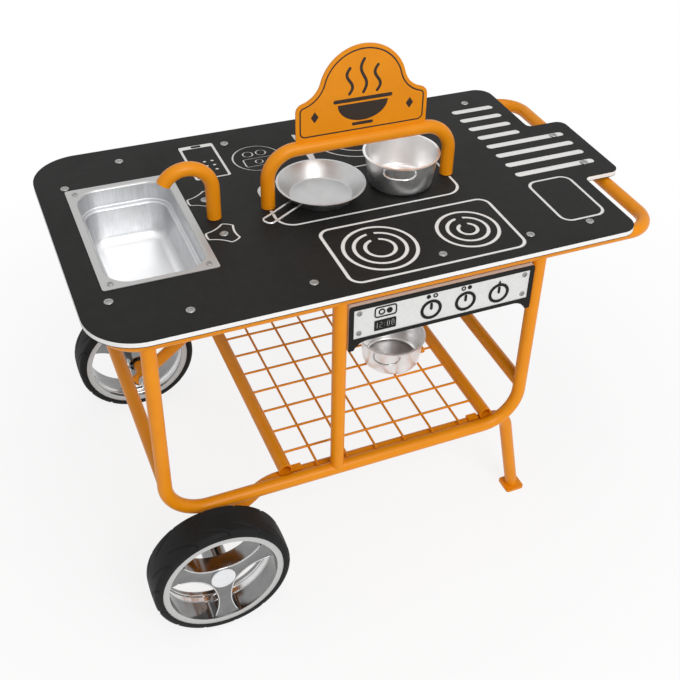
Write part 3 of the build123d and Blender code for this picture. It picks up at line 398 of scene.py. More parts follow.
@dataclass
class Sheet:
    """A node tree with a short way to add nodes and join them."""

    tree: Tree

    def add(self, kind: str, options: dict | None = None, **sockets: object) -> Node:
        """Adds a node.

        Args:
            kind: type of the node.
            options: settings of the node itself.
            sockets: inputs by name, with _ for a space; a socket is joined, any other value is set.

        Returns:
            The node.
        """
        node = self.tree.nodes.new(kind)
        for name, value in (options or {}).items():
            setattr(node, name, value)
        for name, value in sockets.items():
            self.feed(node.inputs[name.replace("_", " ")], value)
        return node

    def feed(self, socket: Socket, value: object) -> None:
        """Joins a socket to another, or sets its value."""
        if isinstance(value, Socket):
            self.tree.links.new(value, socket)
        else:
            socket.default_value = value

    def sum(self, kind: str, first: object, second: object = 0.0, node: str = "ShaderNodeMath") -> Socket:
        """The result of one math node on two values.

        Args:
            kind: operation of the node.
            first: first value or socket.
            second: second value or socket.
            node: type of the node, for values or for vectors.

        Returns:
            The node's first output.
        """
        made = self.add(node, {"operation": kind})
        self.feed(made.inputs[0], first)
        self.feed(made.inputs[1], second)
        return made.outputs[0]

    def reach(self, first: Socket, second: Socket) -> Socket:
        """The root of the sum of two squares."""
        squares = [self.sum("MULTIPLY", part, part) for part in (first, second)]
        return self.sum("SQRT", self.sum("ADD", *squares))

    def parts(self, vector: Socket) -> Sequence[Socket]:
        """The three parts of a vector."""
        return self.add("ShaderNodeSeparateXYZ", None, Vector=vector).outputs

    def about(self, where: Socket, centre: Sequence[float]) -> Socket:
        """Places measured from a centre in millimetres."""
        return self.add("ShaderNodeMapping", None, Vector=where, Location=[-part * MM for part in centre]).outputs[0]

    def noise(self, where: Socket, scale: object, detail: float, distortion: float = 0.0) -> Socket:
        """The value of a noise."""
        sockets = {"Vector": where, "Scale": scale, "Detail": detail, "Distortion": distortion}
        return self.add("ShaderNodeTexNoise", None, **sockets).outputs[0]

    def band(self, value: object, low: float, high: float, start: object = 0.0, end: object = 1.0) -> Socket:
        """A value carried from one span to another and held at its ends."""
        spans = {"From_Min": low, "From_Max": high, "To_Min": start, "To_Max": end}
        return self.add("ShaderNodeMapRange", None, Value=value, **spans).outputs["Result"]

    def blend(self, share: object, first: object, second: object) -> Socket:
        """Two colours mixed by a share.

        Args:
            share: share of the second colour.
            first: first colour or socket.
            second: second colour or socket.

        Returns:
            The mixed colour.
        """
        node = self.add("ShaderNodeMix", {"data_type": "RGBA"})
        for index, value in ((0, share), (6, first), (7, second)):
            self.feed(node.inputs[index], value)
        return node.outputs[2]


@dataclass
class EffectShelf:
    """Builds each shared effect once, as a node group, and places it in materials."""

    kinds: ClassVar[dict[str, str]] = {"Vector": "Vector", "Stretch": "Vector", "Colour": "Color", "Shade": "Color"}
    cloud_span: tuple = (0.3, 0.7)
    smudge_span: tuple = (0.45, 0.75)
    smudge_bend: float = 0.6
    groups: dict[Effect, Tree] = field(default_factory=dict)

    def place(self, sheet: Sheet, effect: Effect, **sockets: object) -> Node:
        """Places an effect in a material with its own values.

        Args:
            sheet: tree of the material.
            effect: which effect.
            sockets: inputs of the group by name.

        Returns:
            The group node.
        """
        if effect not in self.groups:
            self.groups[effect] = self.group(effect)
        return sheet.add("ShaderNodeGroup", {"node_tree": self.groups[effect]}, **sockets)

    def group(self, effect: Effect) -> Tree:
        """Builds an effect's group: its sockets, and between them the nodes of the method of its name.

        Args:
            effect: which effect.

        Returns:
            The node group.
        """
        name, inputs, outputs = effect.value
        tree = bpy.data.node_groups.new(name, "ShaderNodeTree")
        for way, sockets in (("INPUT", inputs), ("OUTPUT", outputs)):
            for socket in sockets:
                kind = "NodeSocket" + self.kinds.get(socket, "Float")
                tree.interface.new_socket(name=socket, in_out=way, socket_type=kind)
        given = tree.nodes.new("NodeGroupInput").outputs
        result = tree.nodes.new("NodeGroupOutput").inputs
        for socket, value in zip(outputs, getattr(self, effect.name.lower())(Sheet(tree), given)):
            tree.links.new(value, result[socket])
        return tree

    @staticmethod
    def swung(sheet: Sheet, given: dict[str, Socket], height: Socket) -> tuple[Socket, Socket]:
        """A height, and the roughness swung about its given value by that height."""
        swing = sheet.sum("MULTIPLY", sheet.sum("SUBTRACT", height, 0.5), given["Swing"])
        return height, sheet.sum("ADD", given["Roughness"], swing)

    def mottle(self, sheet: Sheet, given: dict[str, Socket]) -> tuple[Socket]:
        """Two near colours in soft clouds: a noise, steepened about its middle, mixes them."""
        cloud = sheet.band(sheet.noise(given["Vector"], given["Scale"], 4.0), *self.cloud_span)
        return (sheet.blend(sheet.sum("MULTIPLY", cloud, given["Amount"]), given["Colour"], given["Shade"]),)

    def relief(self, sheet: Sheet, given: dict[str, Socket]) -> tuple[Socket, Socket]:
        """An even fine texture of one noise."""
        return self.swung(sheet, given, sheet.noise(given["Vector"], given["Scale"], 2.0))

    def drawn(self, sheet: Sheet, given: dict[str, Socket]) -> tuple[Socket, Socket]:
        """Streaks of drawn or brushed metal: a noise squeezed by its own scale on each axis."""
        squeezed = sheet.sum("MULTIPLY", given["Vector"], given["Stretch"], "ShaderNodeVectorMath")
        return self.swung(sheet, given, sheet.noise(squeezed, 1.0, 5.0))

    def turned(self, sheet: Sheet, given: dict[str, Socket]) -> tuple[Socket, Socket]:
        """Rings of a lathe: a noise along one line, which is distance from the axis plus height.

        Args:
            sheet: tree of the group.
            given: inputs by name.

        Returns:
            Height and roughness.
        """
        x, y, z = sheet.parts(given["Vector"])
        line = sheet.sum("MULTIPLY", sheet.sum("ADD", sheet.reach(x, y), z), given["Pitch"])
        rings = sheet.add("ShaderNodeTexNoise", {"noise_dimensions": "1D"}, W=line, Scale=1.0, Detail=4.0)
        return self.swung(sheet, given, rings.outputs[0])

    def smudge(self, sheet: Sheet, given: dict[str, Socket]) -> tuple[Socket]:
        """Traces of handling: a broad noise, steepened, adds to the roughness."""
        cloud = sheet.band(sheet.noise(given["Vector"], given["Scale"], 3.0, self.smudge_bend), *self.smudge_span)
        return (sheet.sum("ADD", given["Roughness"], sheet.sum("MULTIPLY", cloud, given["Amount"])),)


SHELF = EffectShelf()


# ---------------------------------------------------------------- finishes


@dataclass(frozen=True)
class Finish:
    """A finish: two near tints in clouds, a grain in height and gloss, and smudges over it.

    It holds its name, the slot of the record that it belongs to, and the values of its effects: scale of the
    clouds and share of the shade in them; the grain's effect, measure and swing; scale and amount of the
    smudges; strength of the relief and its depth; weight and roughness of a clear coat.
    """

    name: str
    slot: str
    colour: Colour
    shade: Colour
    measure: float | tuple
    roughness: float
    relief: tuple
    cloud: float = 30.0
    share: float = 1.0
    effect: Effect = Effect.RELIEF
    swing: float = 0.1
    smudge: tuple = ()
    metallic: float = 0.0
    specular: float = 0.5
    clear: tuple = (0.0, 0.03)

    def material(self) -> bpy.types.Material:
        """The finish's material, made at its first use.

        Returns:
            The material.
        """
        found = bpy.data.materials.get(self.name)
        if found is not None:
            return found
        made = bpy.data.materials.new(self.name)
        made.use_nodes = True
        self.dress(Sheet(made.node_tree), made.node_tree.nodes["Principled BSDF"])
        return made

    def dress(self, sheet: Sheet, shader: Node) -> None:
        """Joins tints, grain and smudges to the shader.

        Args:
            sheet: tree of the material.
            shader: shader that takes them.
        """
        where = sheet.add("ShaderNodeTexCoord").outputs["Object"]
        tints = {"Scale": self.cloud, "Colour": self.colour, "Shade": self.shade, "Amount": self.share}
        tint = SHELF.place(sheet, Effect.MOTTLE, Vector=where, **tints).outputs["Colour"]
        fine = {self.effect.measure: self.measure, "Roughness": self.roughness, "Swing": self.swing}
        grain = SHELF.place(sheet, self.effect, Vector=self.lay(sheet, where), **fine).outputs
        rough = grain["Roughness"]
        if self.smudge:
            worn = dict(zip(("Scale", "Amount"), self.smudge))
            rough = SHELF.place(sheet, Effect.SMUDGE, Vector=where, Roughness=rough, **worn).outputs["Roughness"]
        values = {
            "Base Color": tint,
            "Roughness": rough,
            "Metallic": self.metallic,
            "Specular IOR Level": self.specular,
            "Coat Weight": self.clear[0],
            "Coat Roughness": self.clear[1],
        }
        values.update(self.zones(sheet, where, tint, grain))
        for name, value in values.items():
            sheet.feed(shader.inputs[name], value)
        strength, depth = self.relief
        bump = sheet.add("ShaderNodeBump", None, Strength=strength, Distance=depth * MM, Height=grain["Height"])
        sheet.feed(shader.inputs["Normal"], bump.outputs[0])

    def lay(self, sheet: Sheet, where: Socket) -> Socket:
        """Where the grain is measured: in the frame itself, unless a finish has its own way."""
        return where

    def zones(self, sheet: Sheet, where: Socket, tint: Socket, grain: dict[str, Socket]) -> dict[str, Socket]:
        """Shader inputs that change from zone to zone: none, unless a finish has zones."""
        return {}

    def coat(self, solid: Piece) -> None:
        """Puts the finish on a solid that keeps its shape.

        Args:
            solid: the solid.
        """
        solid.data.materials.clear()
        solid.data.materials.append(self.material())
        LOG.info("finish %s on %s", self.name, solid.name)


Coats = dict[Finish, tuple[str, ...]]


@dataclass(frozen=True)
class PowderCoat(Finish):
    """Satin powder coat with a faint orange peel and handling marks in its gloss."""

    name: str = "orange_powder_coat"
    slot: str = "orange_paint"
    colour: Colour = linear(242, 150, 17)
    shade: Colour = linear(236, 143, 11)
    cloud: float = 26.0
    measure: float = 850.0
    roughness: float = 0.34
    smudge: tuple = (17.0, 0.08)
    relief: tuple = (0.12, 0.25)
    specular: float = 0.2
    clear: tuple = (0.06, 0.18)


@dataclass(frozen=True)
class PrintInk(Finish):
    """Dark screen print on the sign, slightly uneven, with the coat's peel showing through."""

    name: str = "sign_ink"
    slot: str = "orange_paint"
    colour: Colour = linear(46, 30, 18)
    shade: Colour = linear(38, 25, 15)
    cloud: float = 220.0
    measure: float = 850.0
    roughness: float = 0.5
    relief: tuple = (0.1, 0.2)


@dataclass(frozen=True)
class BoardSkin(Finish):
    """Dark skin of the board: a pebbled anti-glare surface with faint rubs."""

    name: str = "dark_board_skin"
    slot: str = "black_board"
    colour: Colour = linear(32, 32, 31)
    shade: Colour = linear(27, 27, 26)
    cloud: float = 60.0
    measure: float = 640.0
    roughness: float = 0.54
    swing: float = 0.16
    smudge: tuple = (9.0, 0.08)
    relief: tuple = (0.25, 0.2)
    specular: float = 0.14


@dataclass(frozen=True)
class BoardCore(Finish):
    """White core of the board, with the fine marks that a cutter leaves round it."""

    name: str = "white_board_core"
    slot: str = "white_board"
    colour: Colour = linear(249, 248, 246)
    shade: Colour = linear(242, 241, 239)
    cloud: float = 140.0
    share: float = 0.8
    effect: Effect = Effect.DRAWN
    measure: tuple = (700.0, 700.0, 160.0)
    roughness: float = 0.55
    swing: float = 0.15
    relief: tuple = (0.1, 0.15)


@dataclass(frozen=True)
class DrawnSteel(Finish):
    """Drawn steel wire and rod with a fine even grain."""

    name: str = "drawn_wire_steel"
    slot: str = "wire_steel"
    colour: Colour = (0.72, 0.73, 0.74, 1.0)
    shade: Colour = (0.62, 0.63, 0.64, 1.0)
    cloud: float = 32.0
    share: float = 0.7
    effect: Effect = Effect.DRAWN
    measure: tuple = (260.0, 260.0, 260.0)
    roughness: float = 0.27
    swing: float = 0.2
    smudge: tuple = (22.0, 0.1)
    relief: tuple = (0.12, 0.08)
    metallic: float = 1.0


@dataclass(frozen=True)
class PressedSteel(Finish):
    """Pressed sheet steel of the sink: a plate in a darker grey as painted shade, drawn walls with an upright grain,
    and a floor in a lighter grey as a painted highlight.
    """

    name: str = "sink_steel"
    slot: str = "sheet_steel"
    colour: Colour = (0.68, 0.69, 0.705, 1.0)
    shade: Colour = (0.544, 0.552, 0.564, 1.0)
    share: float = 0.6
    effect: Effect = Effect.DRAWN
    measure: tuple = (900.0, 900.0, 14.0)
    roughness: float = 0.44
    swing: float = 0.3
    smudge: tuple = (22.0, 0.08)
    relief: tuple = (0.16, 0.08)
    metallic: float = 1.0
    # On the same steel as the walls, the plate's darker grey is painted shade and the floor's lighter grey is a
    # painted highlight.
    plate: Colour = (0.48, 0.48, 0.475, 1.0)
    floor: Colour = grey(0.90)
    plate_level: float = 551.6
    plate_fade: float = 2.5
    floor_level: float = 462.0
    floor_rise: float = 14.0
    streaks: tuple = (0.4, 0.75)

    def zones(self, sheet: Sheet, where: Socket, tint: Socket, grain: dict[str, Socket]) -> dict[str, Socket]:
        """The height tells plate, wall and floor apart: the plate takes its painted shade and the floor its painted
        highlight, and the walls have darker streaks.

        Args:
            sheet: tree of the material.
            where: places in the frame.
            tint: colour of the walls.
            grain: height and roughness of the grain.

        Returns:
            The base colour.
        """
        level = sheet.parts(where)[2]
        plate = sheet.band(level, (self.plate_level - self.plate_fade) * MM, self.plate_level * MM)
        low = sheet.band(level, self.floor_level * MM, (self.floor_level + self.floor_rise) * MM, 1.0, 0.0)
        wall = sheet.blend(sheet.band(grain["Height"], *self.streaks), tint, self.shade)
        # Blends in the plate's painted shade and the floor's painted highlight by height.
        return {"Base Color": sheet.blend(plate, sheet.blend(low, wall, self.floor), self.plate)}


@dataclass(frozen=True)
class SpunSteel(Finish):
    """Spun sheet steel with rings about the vessel's own axis and smudges of handling."""

    slot: str = "sheet_steel"
    colour: Colour = grey(0.90)
    shade: Colour = grey(0.80)
    cloud: float = 45.0
    share: float = 0.6
    effect: Effect = Effect.TURNED
    measure: float = 1300.0
    roughness: float = 0.34
    swing: float = 0.22
    smudge: tuple = (30.0, 0.1)
    relief: tuple = (0.18, 0.08)
    metallic: float = 1.0
    centre: tuple = (0.0, 0.0)

    def lay(self, sheet: Sheet, where: Socket) -> Socket:
        """Measures the rings from the vessel's axis."""
        return sheet.about(where, (*self.centre, 0.0))


@dataclass(frozen=True)
class ScrewSteel(Finish):
    """Turned screw heads, with the rings of the turning tool."""

    name: str = "turned_screw_steel"
    slot: str = "screw_steel"
    colour: Colour = (0.38, 0.38, 0.375, 1.0)
    shade: Colour = (0.31, 0.31, 0.305, 1.0)
    cloud: float = 300.0
    effect: Effect = Effect.TURNED
    measure: float = 4.0
    roughness: float = 0.36
    swing: float = 0.2
    relief: tuple = (0.15, 0.05)
    metallic: float = 1.0

    def lay(self, sheet: Sheet, where: Socket) -> Socket:
        """Measures the rings by the radius in the piece's own flat pattern."""
        radius = sheet.parts(sheet.add("ShaderNodeUVMap", {"uv_map": "pattern"}).outputs[0])[1]
        return sheet.add("ShaderNodeCombineXYZ", None, X=radius).outputs[0]


@dataclass(frozen=True)
class PlatedRim(Finish):
    """Silver lacquered rim with fine flakes, its colour darkened as painted shade for the spokes' dark reflections,
    and a pale matt lip on both faces.
    """

    slot: str = "rim_silver"
    # The lacquer's dark grey is painted shade: the spokes' dark reflections painted into the silver's colour.
    colour: Colour = grey(0.25)
    shade: Colour = grey(0.21)
    cloud: float = 60.0
    measure: float = 700.0
    roughness: float = 0.14
    swing: float = 0.06
    relief: tuple = (0.04, 0.04)
    metallic: float = 1.0
    centre: tuple = (0.0, 0.0, 0.0)
    lip: Colour = linear(200, 200, 199)
    lip_radius: float = 83.4
    lip_depth: float = 27.2
    lip_fade: float = 0.2
    lip_metallic: float = 0.35
    lip_roughness: float = 0.42

    def zones(self, sheet: Sheet, where: Socket, tint: Socket, grain: dict[str, Socket]) -> dict[str, Socket]:
        """The lip is where both the distance from the axle and the distance along it are at their end.

        Args:
            sheet: tree of the material.
            where: places in the frame.
            tint: colour of the lacquer.
            grain: height and roughness of the grain.

        Returns:
            Base colour, metallic and roughness.
        """
        x, y, z = sheet.parts(sheet.about(where, self.centre))
        far = sheet.band(sheet.reach(x, z), (self.lip_radius - self.lip_fade) * MM, self.lip_radius * MM)
        along = sheet.sum("ABSOLUTE", y)
        deep = sheet.band(along, (self.lip_depth - self.lip_fade) * MM, self.lip_depth * MM)
        lip = sheet.sum("MULTIPLY", far, deep)
        return {
            "Base Color": sheet.blend(lip, tint, self.lip),
            "Metallic": sheet.band(lip, 0.0, 1.0, self.metallic, self.lip_metallic),
            "Roughness": sheet.band(lip, 0.0, 1.0, grain["Roughness"], self.lip_roughness),
        }


@dataclass(frozen=True)
class Rubber(Finish):
    """Dull black tyre rubber: a fine matt skin with rubbed clouds."""

    name: str = "dull_tyre_rubber"
    slot: str = "tyre_rubber"
    colour: Colour = linear(31, 31, 31)
    shade: Colour = linear(25, 25, 25)
    cloud: float = 24.0
    measure: float = 1100.0
    roughness: float = 0.56
    swing: float = 0.16
    smudge: tuple = (14.0, 0.14)
    relief: tuple = (0.18, 0.12)
    specular: float = 0.16


@dataclass(frozen=True)
class MouldedPlastic(Finish):
    """Injection-moulded plastic with a fine spark-eroded grain."""

    name: str = "black_moulding"
    slot: str = "black_plastic"
    colour: Colour = linear(28, 28, 28)
    shade: Colour = linear(22, 22, 22)
    cloud: float = 80.0
    share: float = 0.8
    measure: float = 1500.0
    roughness: float = 0.42
    swing: float = 0.12
    relief: tuple = (0.08, 0.08)


ORANGE, INK = PowderCoat(), PrintInk()
SKIN, CORE = BoardSkin(), BoardCore()
# The panel's core is the deck's white core painted greyer: painted shade on its edge and window under the worktop.
PANEL_CORE_PAINTED_SHADE = replace(CORE, name="panel_board_core_painted_shade", colour=linear(230, 230, 228), shade=linear(221, 221, 219))
SINK_STEEL, WIRE_STEEL, SCREWS = PressedSteel(), DrawnSteel(), ScrewSteel()
PLAIN_STEEL = replace(
    WIRE_STEEL,
    name="axle_steel",
    slot="screw_steel",
    colour=(0.6, 0.6, 0.59, 1.0),
    shade=(0.5, 0.5, 0.49, 1.0),
    roughness=0.36,
)
RUBBER, PLUG = Rubber(), MouldedPlastic()
CAP = replace(
    PLUG,
    name="white_moulding",
    slot="white_plastic",
    colour=linear(243, 244, 246),
    shade=linear(235, 236, 239),
    roughness=0.35,
)


# ---------------------------------------------------------------- sub-assemblies


def new_piece(mesh: Mesh, body: str, finish: Finish, stands_for: Sequence[str] = (), crease: float = 30.0) -> None:
    """Makes a mesh a piece of the cart that rides on a body.

    Args:
        mesh: finished mesh in its place.
        body: body that carries it.
        finish: its finish.
        stands_for: solids that it is shown for.
        crease: edges that turn by more degrees than this stay sharp.
    """
    mesh.shade_smooth()
    mesh.set_sharp_from_angle(angle=math.radians(crease))
    mesh.materials.clear()
    mesh.materials.append(finish.material())
    piece = bpy.data.objects.new(mesh.name, mesh)
    bpy.context.scene.collection.objects.link(piece)
    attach(piece, body)
    if stands_for:
        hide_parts(*stands_for)
    LOG.info("piece %s on %s, %d faces", piece.name, body, len(mesh.polygons))


@dataclass
class Assembly:
    """A sub-assembly: it makes its own pieces and finishes the solids that keep their shape."""

    finishes: ClassVar[Coats] = {}

    def make(self) -> None:
        """Makes the pieces that are shown for solids or laid on them."""

    def coats(self) -> Coats:
        """The solids that keep their shape, by finish."""
        return self.finishes

    def build(self, nodes: dict[str, Piece]) -> None:
        """Makes the pieces, then finishes the solids that keep their shape.

        Args:
            nodes: solids by name.
        """
        self.make()
        for finish, names in self.coats().items():
            for name in names:
                finish.coat(nodes[name])
        LOG.info("done: %s", type(self).__name__)


@dataclass
class ScrewSet:
    """A group of turned screws with a star recess, at places on the plane across their axis."""

    node: str
    places: Sequence[Sequence[float]]
    axis: tuple = (0.0, 0.0, 1.0)
    head: float = 8.5
    rise: float = 1.4
    shank: float = 4.0
    recess: float = 4.2
    segments: int = 48

    def make(self) -> None:
        """Turns recess, head, shank and tip as one profile at each place, between the ends of the solids' box."""
        axis = np.array(self.axis)
        foot, top = sorted(float(np.array(corner) @ axis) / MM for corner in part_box(self.node))
        seat = top - self.rise
        tip = foot - seat
        edge, neck, star, rise = self.head / 2, self.shank / 2, self.recess / 2, self.rise
        profile = np.array(
            [
                (0.0, 0.30 * rise),
                (0.86 * star, 0.30 * rise),
                (star, 0.92 * rise),
                (1.12 * star, 0.985 * rise),
                (0.72 * edge, 0.97 * rise),
                (0.90 * edge, 0.82 * rise),
                (0.975 * edge, 0.55 * rise),
                (edge, 0.25 * rise),
                (edge, 0.0),
                (neck, 0.0),
                (neck, tip + 1.0),
                (0.7 * neck, tip),
                (0.0, tip),
            ]
        )
        lobes = np.zeros(len(profile))
        lobes[1:4] = 0.13, 0.13, 0.05
        grid = lathed(profile, np.array(self.places) + seat * axis, axis, lobes, self.segments)
        new_piece(new_mesh(self.node + "_turned", *grid), "cart", SCREWS, [self.node])


@dataclass
class Worktop(Assembly):
    """The board with its routed lines and its screws.

    Lines are measured from the board's front left corner, screws from the frame's origin. A box is left, low,
    right, high and corner, with the line's width after them where it is a line; a ring is the two parts of its
    centre, radius, line width and number of points.
    """

    finishes: ClassVar[Coats] = {SKIN: ("deck_bottom_skin",), CORE: ("deck_core",), ORANGE: ("deck_lugs",)}

    place: tuple = (-444.5, -250.0, 551.5)
    length: float = 820.0
    depth: float = 500.0
    skin: float = 1.0
    tongue: float = 69.0
    tongue_half: float = 91.0
    corners: tuple = (75.0, 28.0, 10.0, 16.0)
    sink: tuple = (47.2, 130.2, 194.8, 384.8, 39.3)
    tube_hole: float = 10.95
    faucet_foot: float = 231.0
    arch_feet: tuple = (315.0, 615.0)
    hob: tuple = (359.1, 21.5, 637.0, 160.3, 18.0, 5.6)
    burners: tuple = (((430.0, 90.5), (54.2, 38.5, 22.2)), ((572.1, 90.5), (46.6, 30.9, 14.5)))
    burner_line: float = 5.85
    burner_gap: float = 10.5
    tray_reach: tuple = (61.5, 66.0)
    tray_corner: float = 27.0
    tray_lead: float = 10.0
    tray_gap: float = 0.5
    tray_line: float = 5.0
    bar: float = 14.1
    bar_rows: tuple = (430.4, 398.0, 365.5, 333.1, 300.7, 268.3, 235.9, 203.5)
    bar_start: float = 717.5
    bar_ends: tuple = (798.5, 866.5)
    dish: tuple = (720.7, 56.5, 795.6, 175.5, 17.0, 5.3)
    tap_rows: tuple = (203.0, 301.0)
    tap_reach: float = 25.3
    tap_spread: float = 19.5
    tap_waist: float = 16.5
    tap_line: float = 3.4
    phone: tuple = (234.7, 358.7, 292.3, 469.0, 4.0)
    phone_screen: tuple = (239.3, 363.3, 287.7, 457.5, 1.5)
    phone_ear: tuple = (255.5, 461.2, 271.5, 465.6, 2.1)
    key: float = 3.0
    key_columns: tuple = (251.0, 263.5, 276.0)
    key_rows: tuple = (384.0, 398.0, 412.0)
    note: tuple = (322.0, 372.0, 370.0, 396.0, 3.0, 2.6)
    token_rings: tuple = (
        (346.0, 395.5, 39.3, 2.9, 120),
        (346.0, 384.0, 6.0, 2.4, 40),
        (335.0, 411.0, 8.0, 2.6, 48),
        (357.0, 411.0, 8.0, 2.6, 48),
    )
    plate_rings: tuple = ((525.0, 419.0, 77.0, 4.4, 140), (525.0, 419.0, 57.0, 4.4, 120))
    knife: tuple = ((423.6, 452.0), (423.6, 332.0), (430.4, 332.0), (437.2, 386.0), (435.4, 430.0), (430.0, 450.0))
    knife_corners: tuple = (2.0, 2.6, 2.6, 6.0, 8.0, 1.5)
    fork_middle: float = 622.0
    fork_half: tuple = (
        (3.4, 332.0), (3.4, 402.0), (9.0, 412.0), (9.0, 452.0), (5.6, 452.0), (5.6, 420.0), (1.7, 420.0), (1.7, 452.0),
    )
    fork_corner: float = 1.2
    screw_columns: tuple = (-307.5, -134.5, 62.5, 207.5, 311.5)
    screw_row: float = 206.5
    more_screws: tuple = ((-402.5, 151.5), (401.5, 49.0), (-213.5, 49.0))

    def outline(self) -> Loops:
        """The board's outer edge, with its tongue, and the openings for sink, faucet and arch.

        Returns:
            Closed loops.
        """
        middle, far = self.depth / 2, self.length + self.tongue
        low = middle - self.tongue_half
        near = [(0.0, 0.0), (self.length, 0.0), (self.length, low), (far, low)]
        mirrored = [(x, self.depth - y) for x, y in near[::-1]]
        edge = rounded_outline(near + mirrored, self.corners + self.corners[::-1], count=20)
        feet = [circle((x, middle), self.tube_hole) for x in (self.faucet_foot, *self.arch_feet)]
        return [edge, rounded_box(*self.sink), *feet]

    def hobs(self) -> Loops:
        """The hob's frame and two burners, each a closed ring about two rings that are open at their top.

        Returns:
            Closed loops.
        """
        loops = routed_box(*self.hob)
        for centre, (outer, *inner) in self.burners:
            loops += routed_circle(*centre, outer, self.burner_line, 120)
            for radius in inner:
                loops += open_ring(centre, radius, self.burner_line, self.burner_gap)
        return loops

    def tray(self) -> Loops:
        """A rounded line on each side of the arch, from one of its feet to the other.

        The far line is the near one turned half round about the point between the feet, with its own reach.

        Returns:
            Closed loops.
        """
        left, right = self.arch_feet
        half, turn, clear = (right - left) / 2, self.tray_corner, self.tube_hole + self.tray_gap
        loops: Loops = []
        for reach, way in zip(self.tray_reach, (1.0, -1.0)):
            bend = turn - reach
            path = np.concatenate(
                [
                    [(-half, -clear), (-half, bend + self.tray_lead)],
                    arc((turn - half, bend), turn, 180.0, 270.0, 16),
                    arc((half - turn, bend), turn, 270.0, 360.0, 16),
                    [(half, bend + self.tray_lead), (half, -clear)],
                ]
            )
            loops += routed_line(way * path + ((left + right) / 2, self.depth / 2), self.tray_line, Cap.FLAT)
        return loops

    def rack(self) -> Loops:
        """Eight cleared bars, four of them reaching over the tongue, and a rounded box beside them.

        Returns:
            Closed loops.
        """
        half = self.bar / 2
        ends = np.repeat(self.bar_ends, len(self.bar_rows) // 2)
        bars = [
            rounded_box(self.bar_start, row - half, end, row + half, 0.98 * half)
            for row, end in zip(self.bar_rows, ends)
        ]
        return bars + routed_box(*self.dish)

    def taps(self) -> Loops:
        """Two three-armed tap handles, each about a screw beside the faucet.

        An arm ends in an arc about the screw, spread to each side of the arm; between two arms the edge is a
        hollow arc that passes the waist from the screw.

        Returns:
            Closed loops.
        """
        reach, spread, waist = self.tap_reach, self.tap_spread, self.tap_waist
        lean = math.radians(60.0 - spread)
        rise, half = reach * math.cos(lean) - waist, reach * math.sin(lean)
        hollow = (rise**2 + half**2) / (2 * rise)
        sweep = math.degrees(math.asin(half / hollow))
        edge = []
        for arm in (60.0, 180.0, 300.0):
            edge.append(arc((0.0, 0.0), reach, arm - spread, arm + spread, 10))
            middle = (waist + hollow) * polar(math.radians(arm + 60.0))
            edge.append(arc(middle, hollow, arm + 240.0 + sweep, arm + 240.0 - sweep, 18)[1:-1])
        handle = np.concatenate(edge)
        return [loop for row in self.tap_rows for loop in routed_ring(handle + (self.faucet_foot, row), self.tap_line)]

    def till(self) -> Loops:
        """A pocket telephone with a keypad, and a note in the round token beside it.

        Returns:
            Closed loops.
        """
        keys = [circle((x, y), self.key, 24) for x in self.key_columns for y in self.key_rows]
        boxes = [rounded_box(*box) for box in (self.phone, self.phone_screen, self.phone_ear)]
        return boxes + keys + routed_box(*self.note)

    def setting(self) -> Loops:
        """The rings of the token and of a plate, and a knife and a fork beside the plate.

        Returns:
            Closed loops.
        """
        loops = [loop for ring in self.token_rings + self.plate_rings for loop in routed_circle(*ring)]
        half = np.array(self.fork_half)
        fork = np.concatenate([half, half[::-1] * (-1.0, 1.0)]) + (self.fork_middle, 0.0)
        loops.append(rounded_outline(self.knife, self.knife_corners))
        loops.append(rounded_outline(fork, (self.fork_corner,) * len(fork), 5))
        return loops

    def make(self) -> None:
        """Cuts the top skin with every opening and line, and turns the screws."""
        loops = self.outline() + self.hobs() + self.tray() + self.rack() + self.taps() + self.till() + self.setting()
        skin = cut_plate("deck_top_skin_routed", loops, self.skin, LYING, self.place)
        new_piece(skin, "cart", SKIN, ["deck_top_skin"])
        spots = [(x, self.screw_row) for x in self.screw_columns] + list(self.more_screws)
        places = [(x, side * y, 0.0) for x, y in spots for side in (-1.0, 1.0)]
        ScrewSet("deck_screws", places, head=13.0, rise=1.6, shank=6.0, recess=6.2).make()


@dataclass
class SinkUnit(Assembly):
    """The pressed sink, its corner screws and the faucet."""

    finishes: ClassVar[Coats] = {SINK_STEEL: ("sink_bowl",), ORANGE: ("faucet_tube", "faucet_plate")}
    centre: tuple = (-323.5, 7.5)
    half_plate: tuple = (81.5, 134.5)
    screw_inset: float = 13.0

    def make(self) -> None:
        """Turns the corner screws on the plate."""
        reach = np.array(self.half_plate) - self.screw_inset
        spots = np.array([(-1, -1), (1, -1), (1, 1), (-1, 1)]) * reach + self.centre
        ScrewSet("sink_screws", np.column_stack([spots, np.zeros(4)])).make()


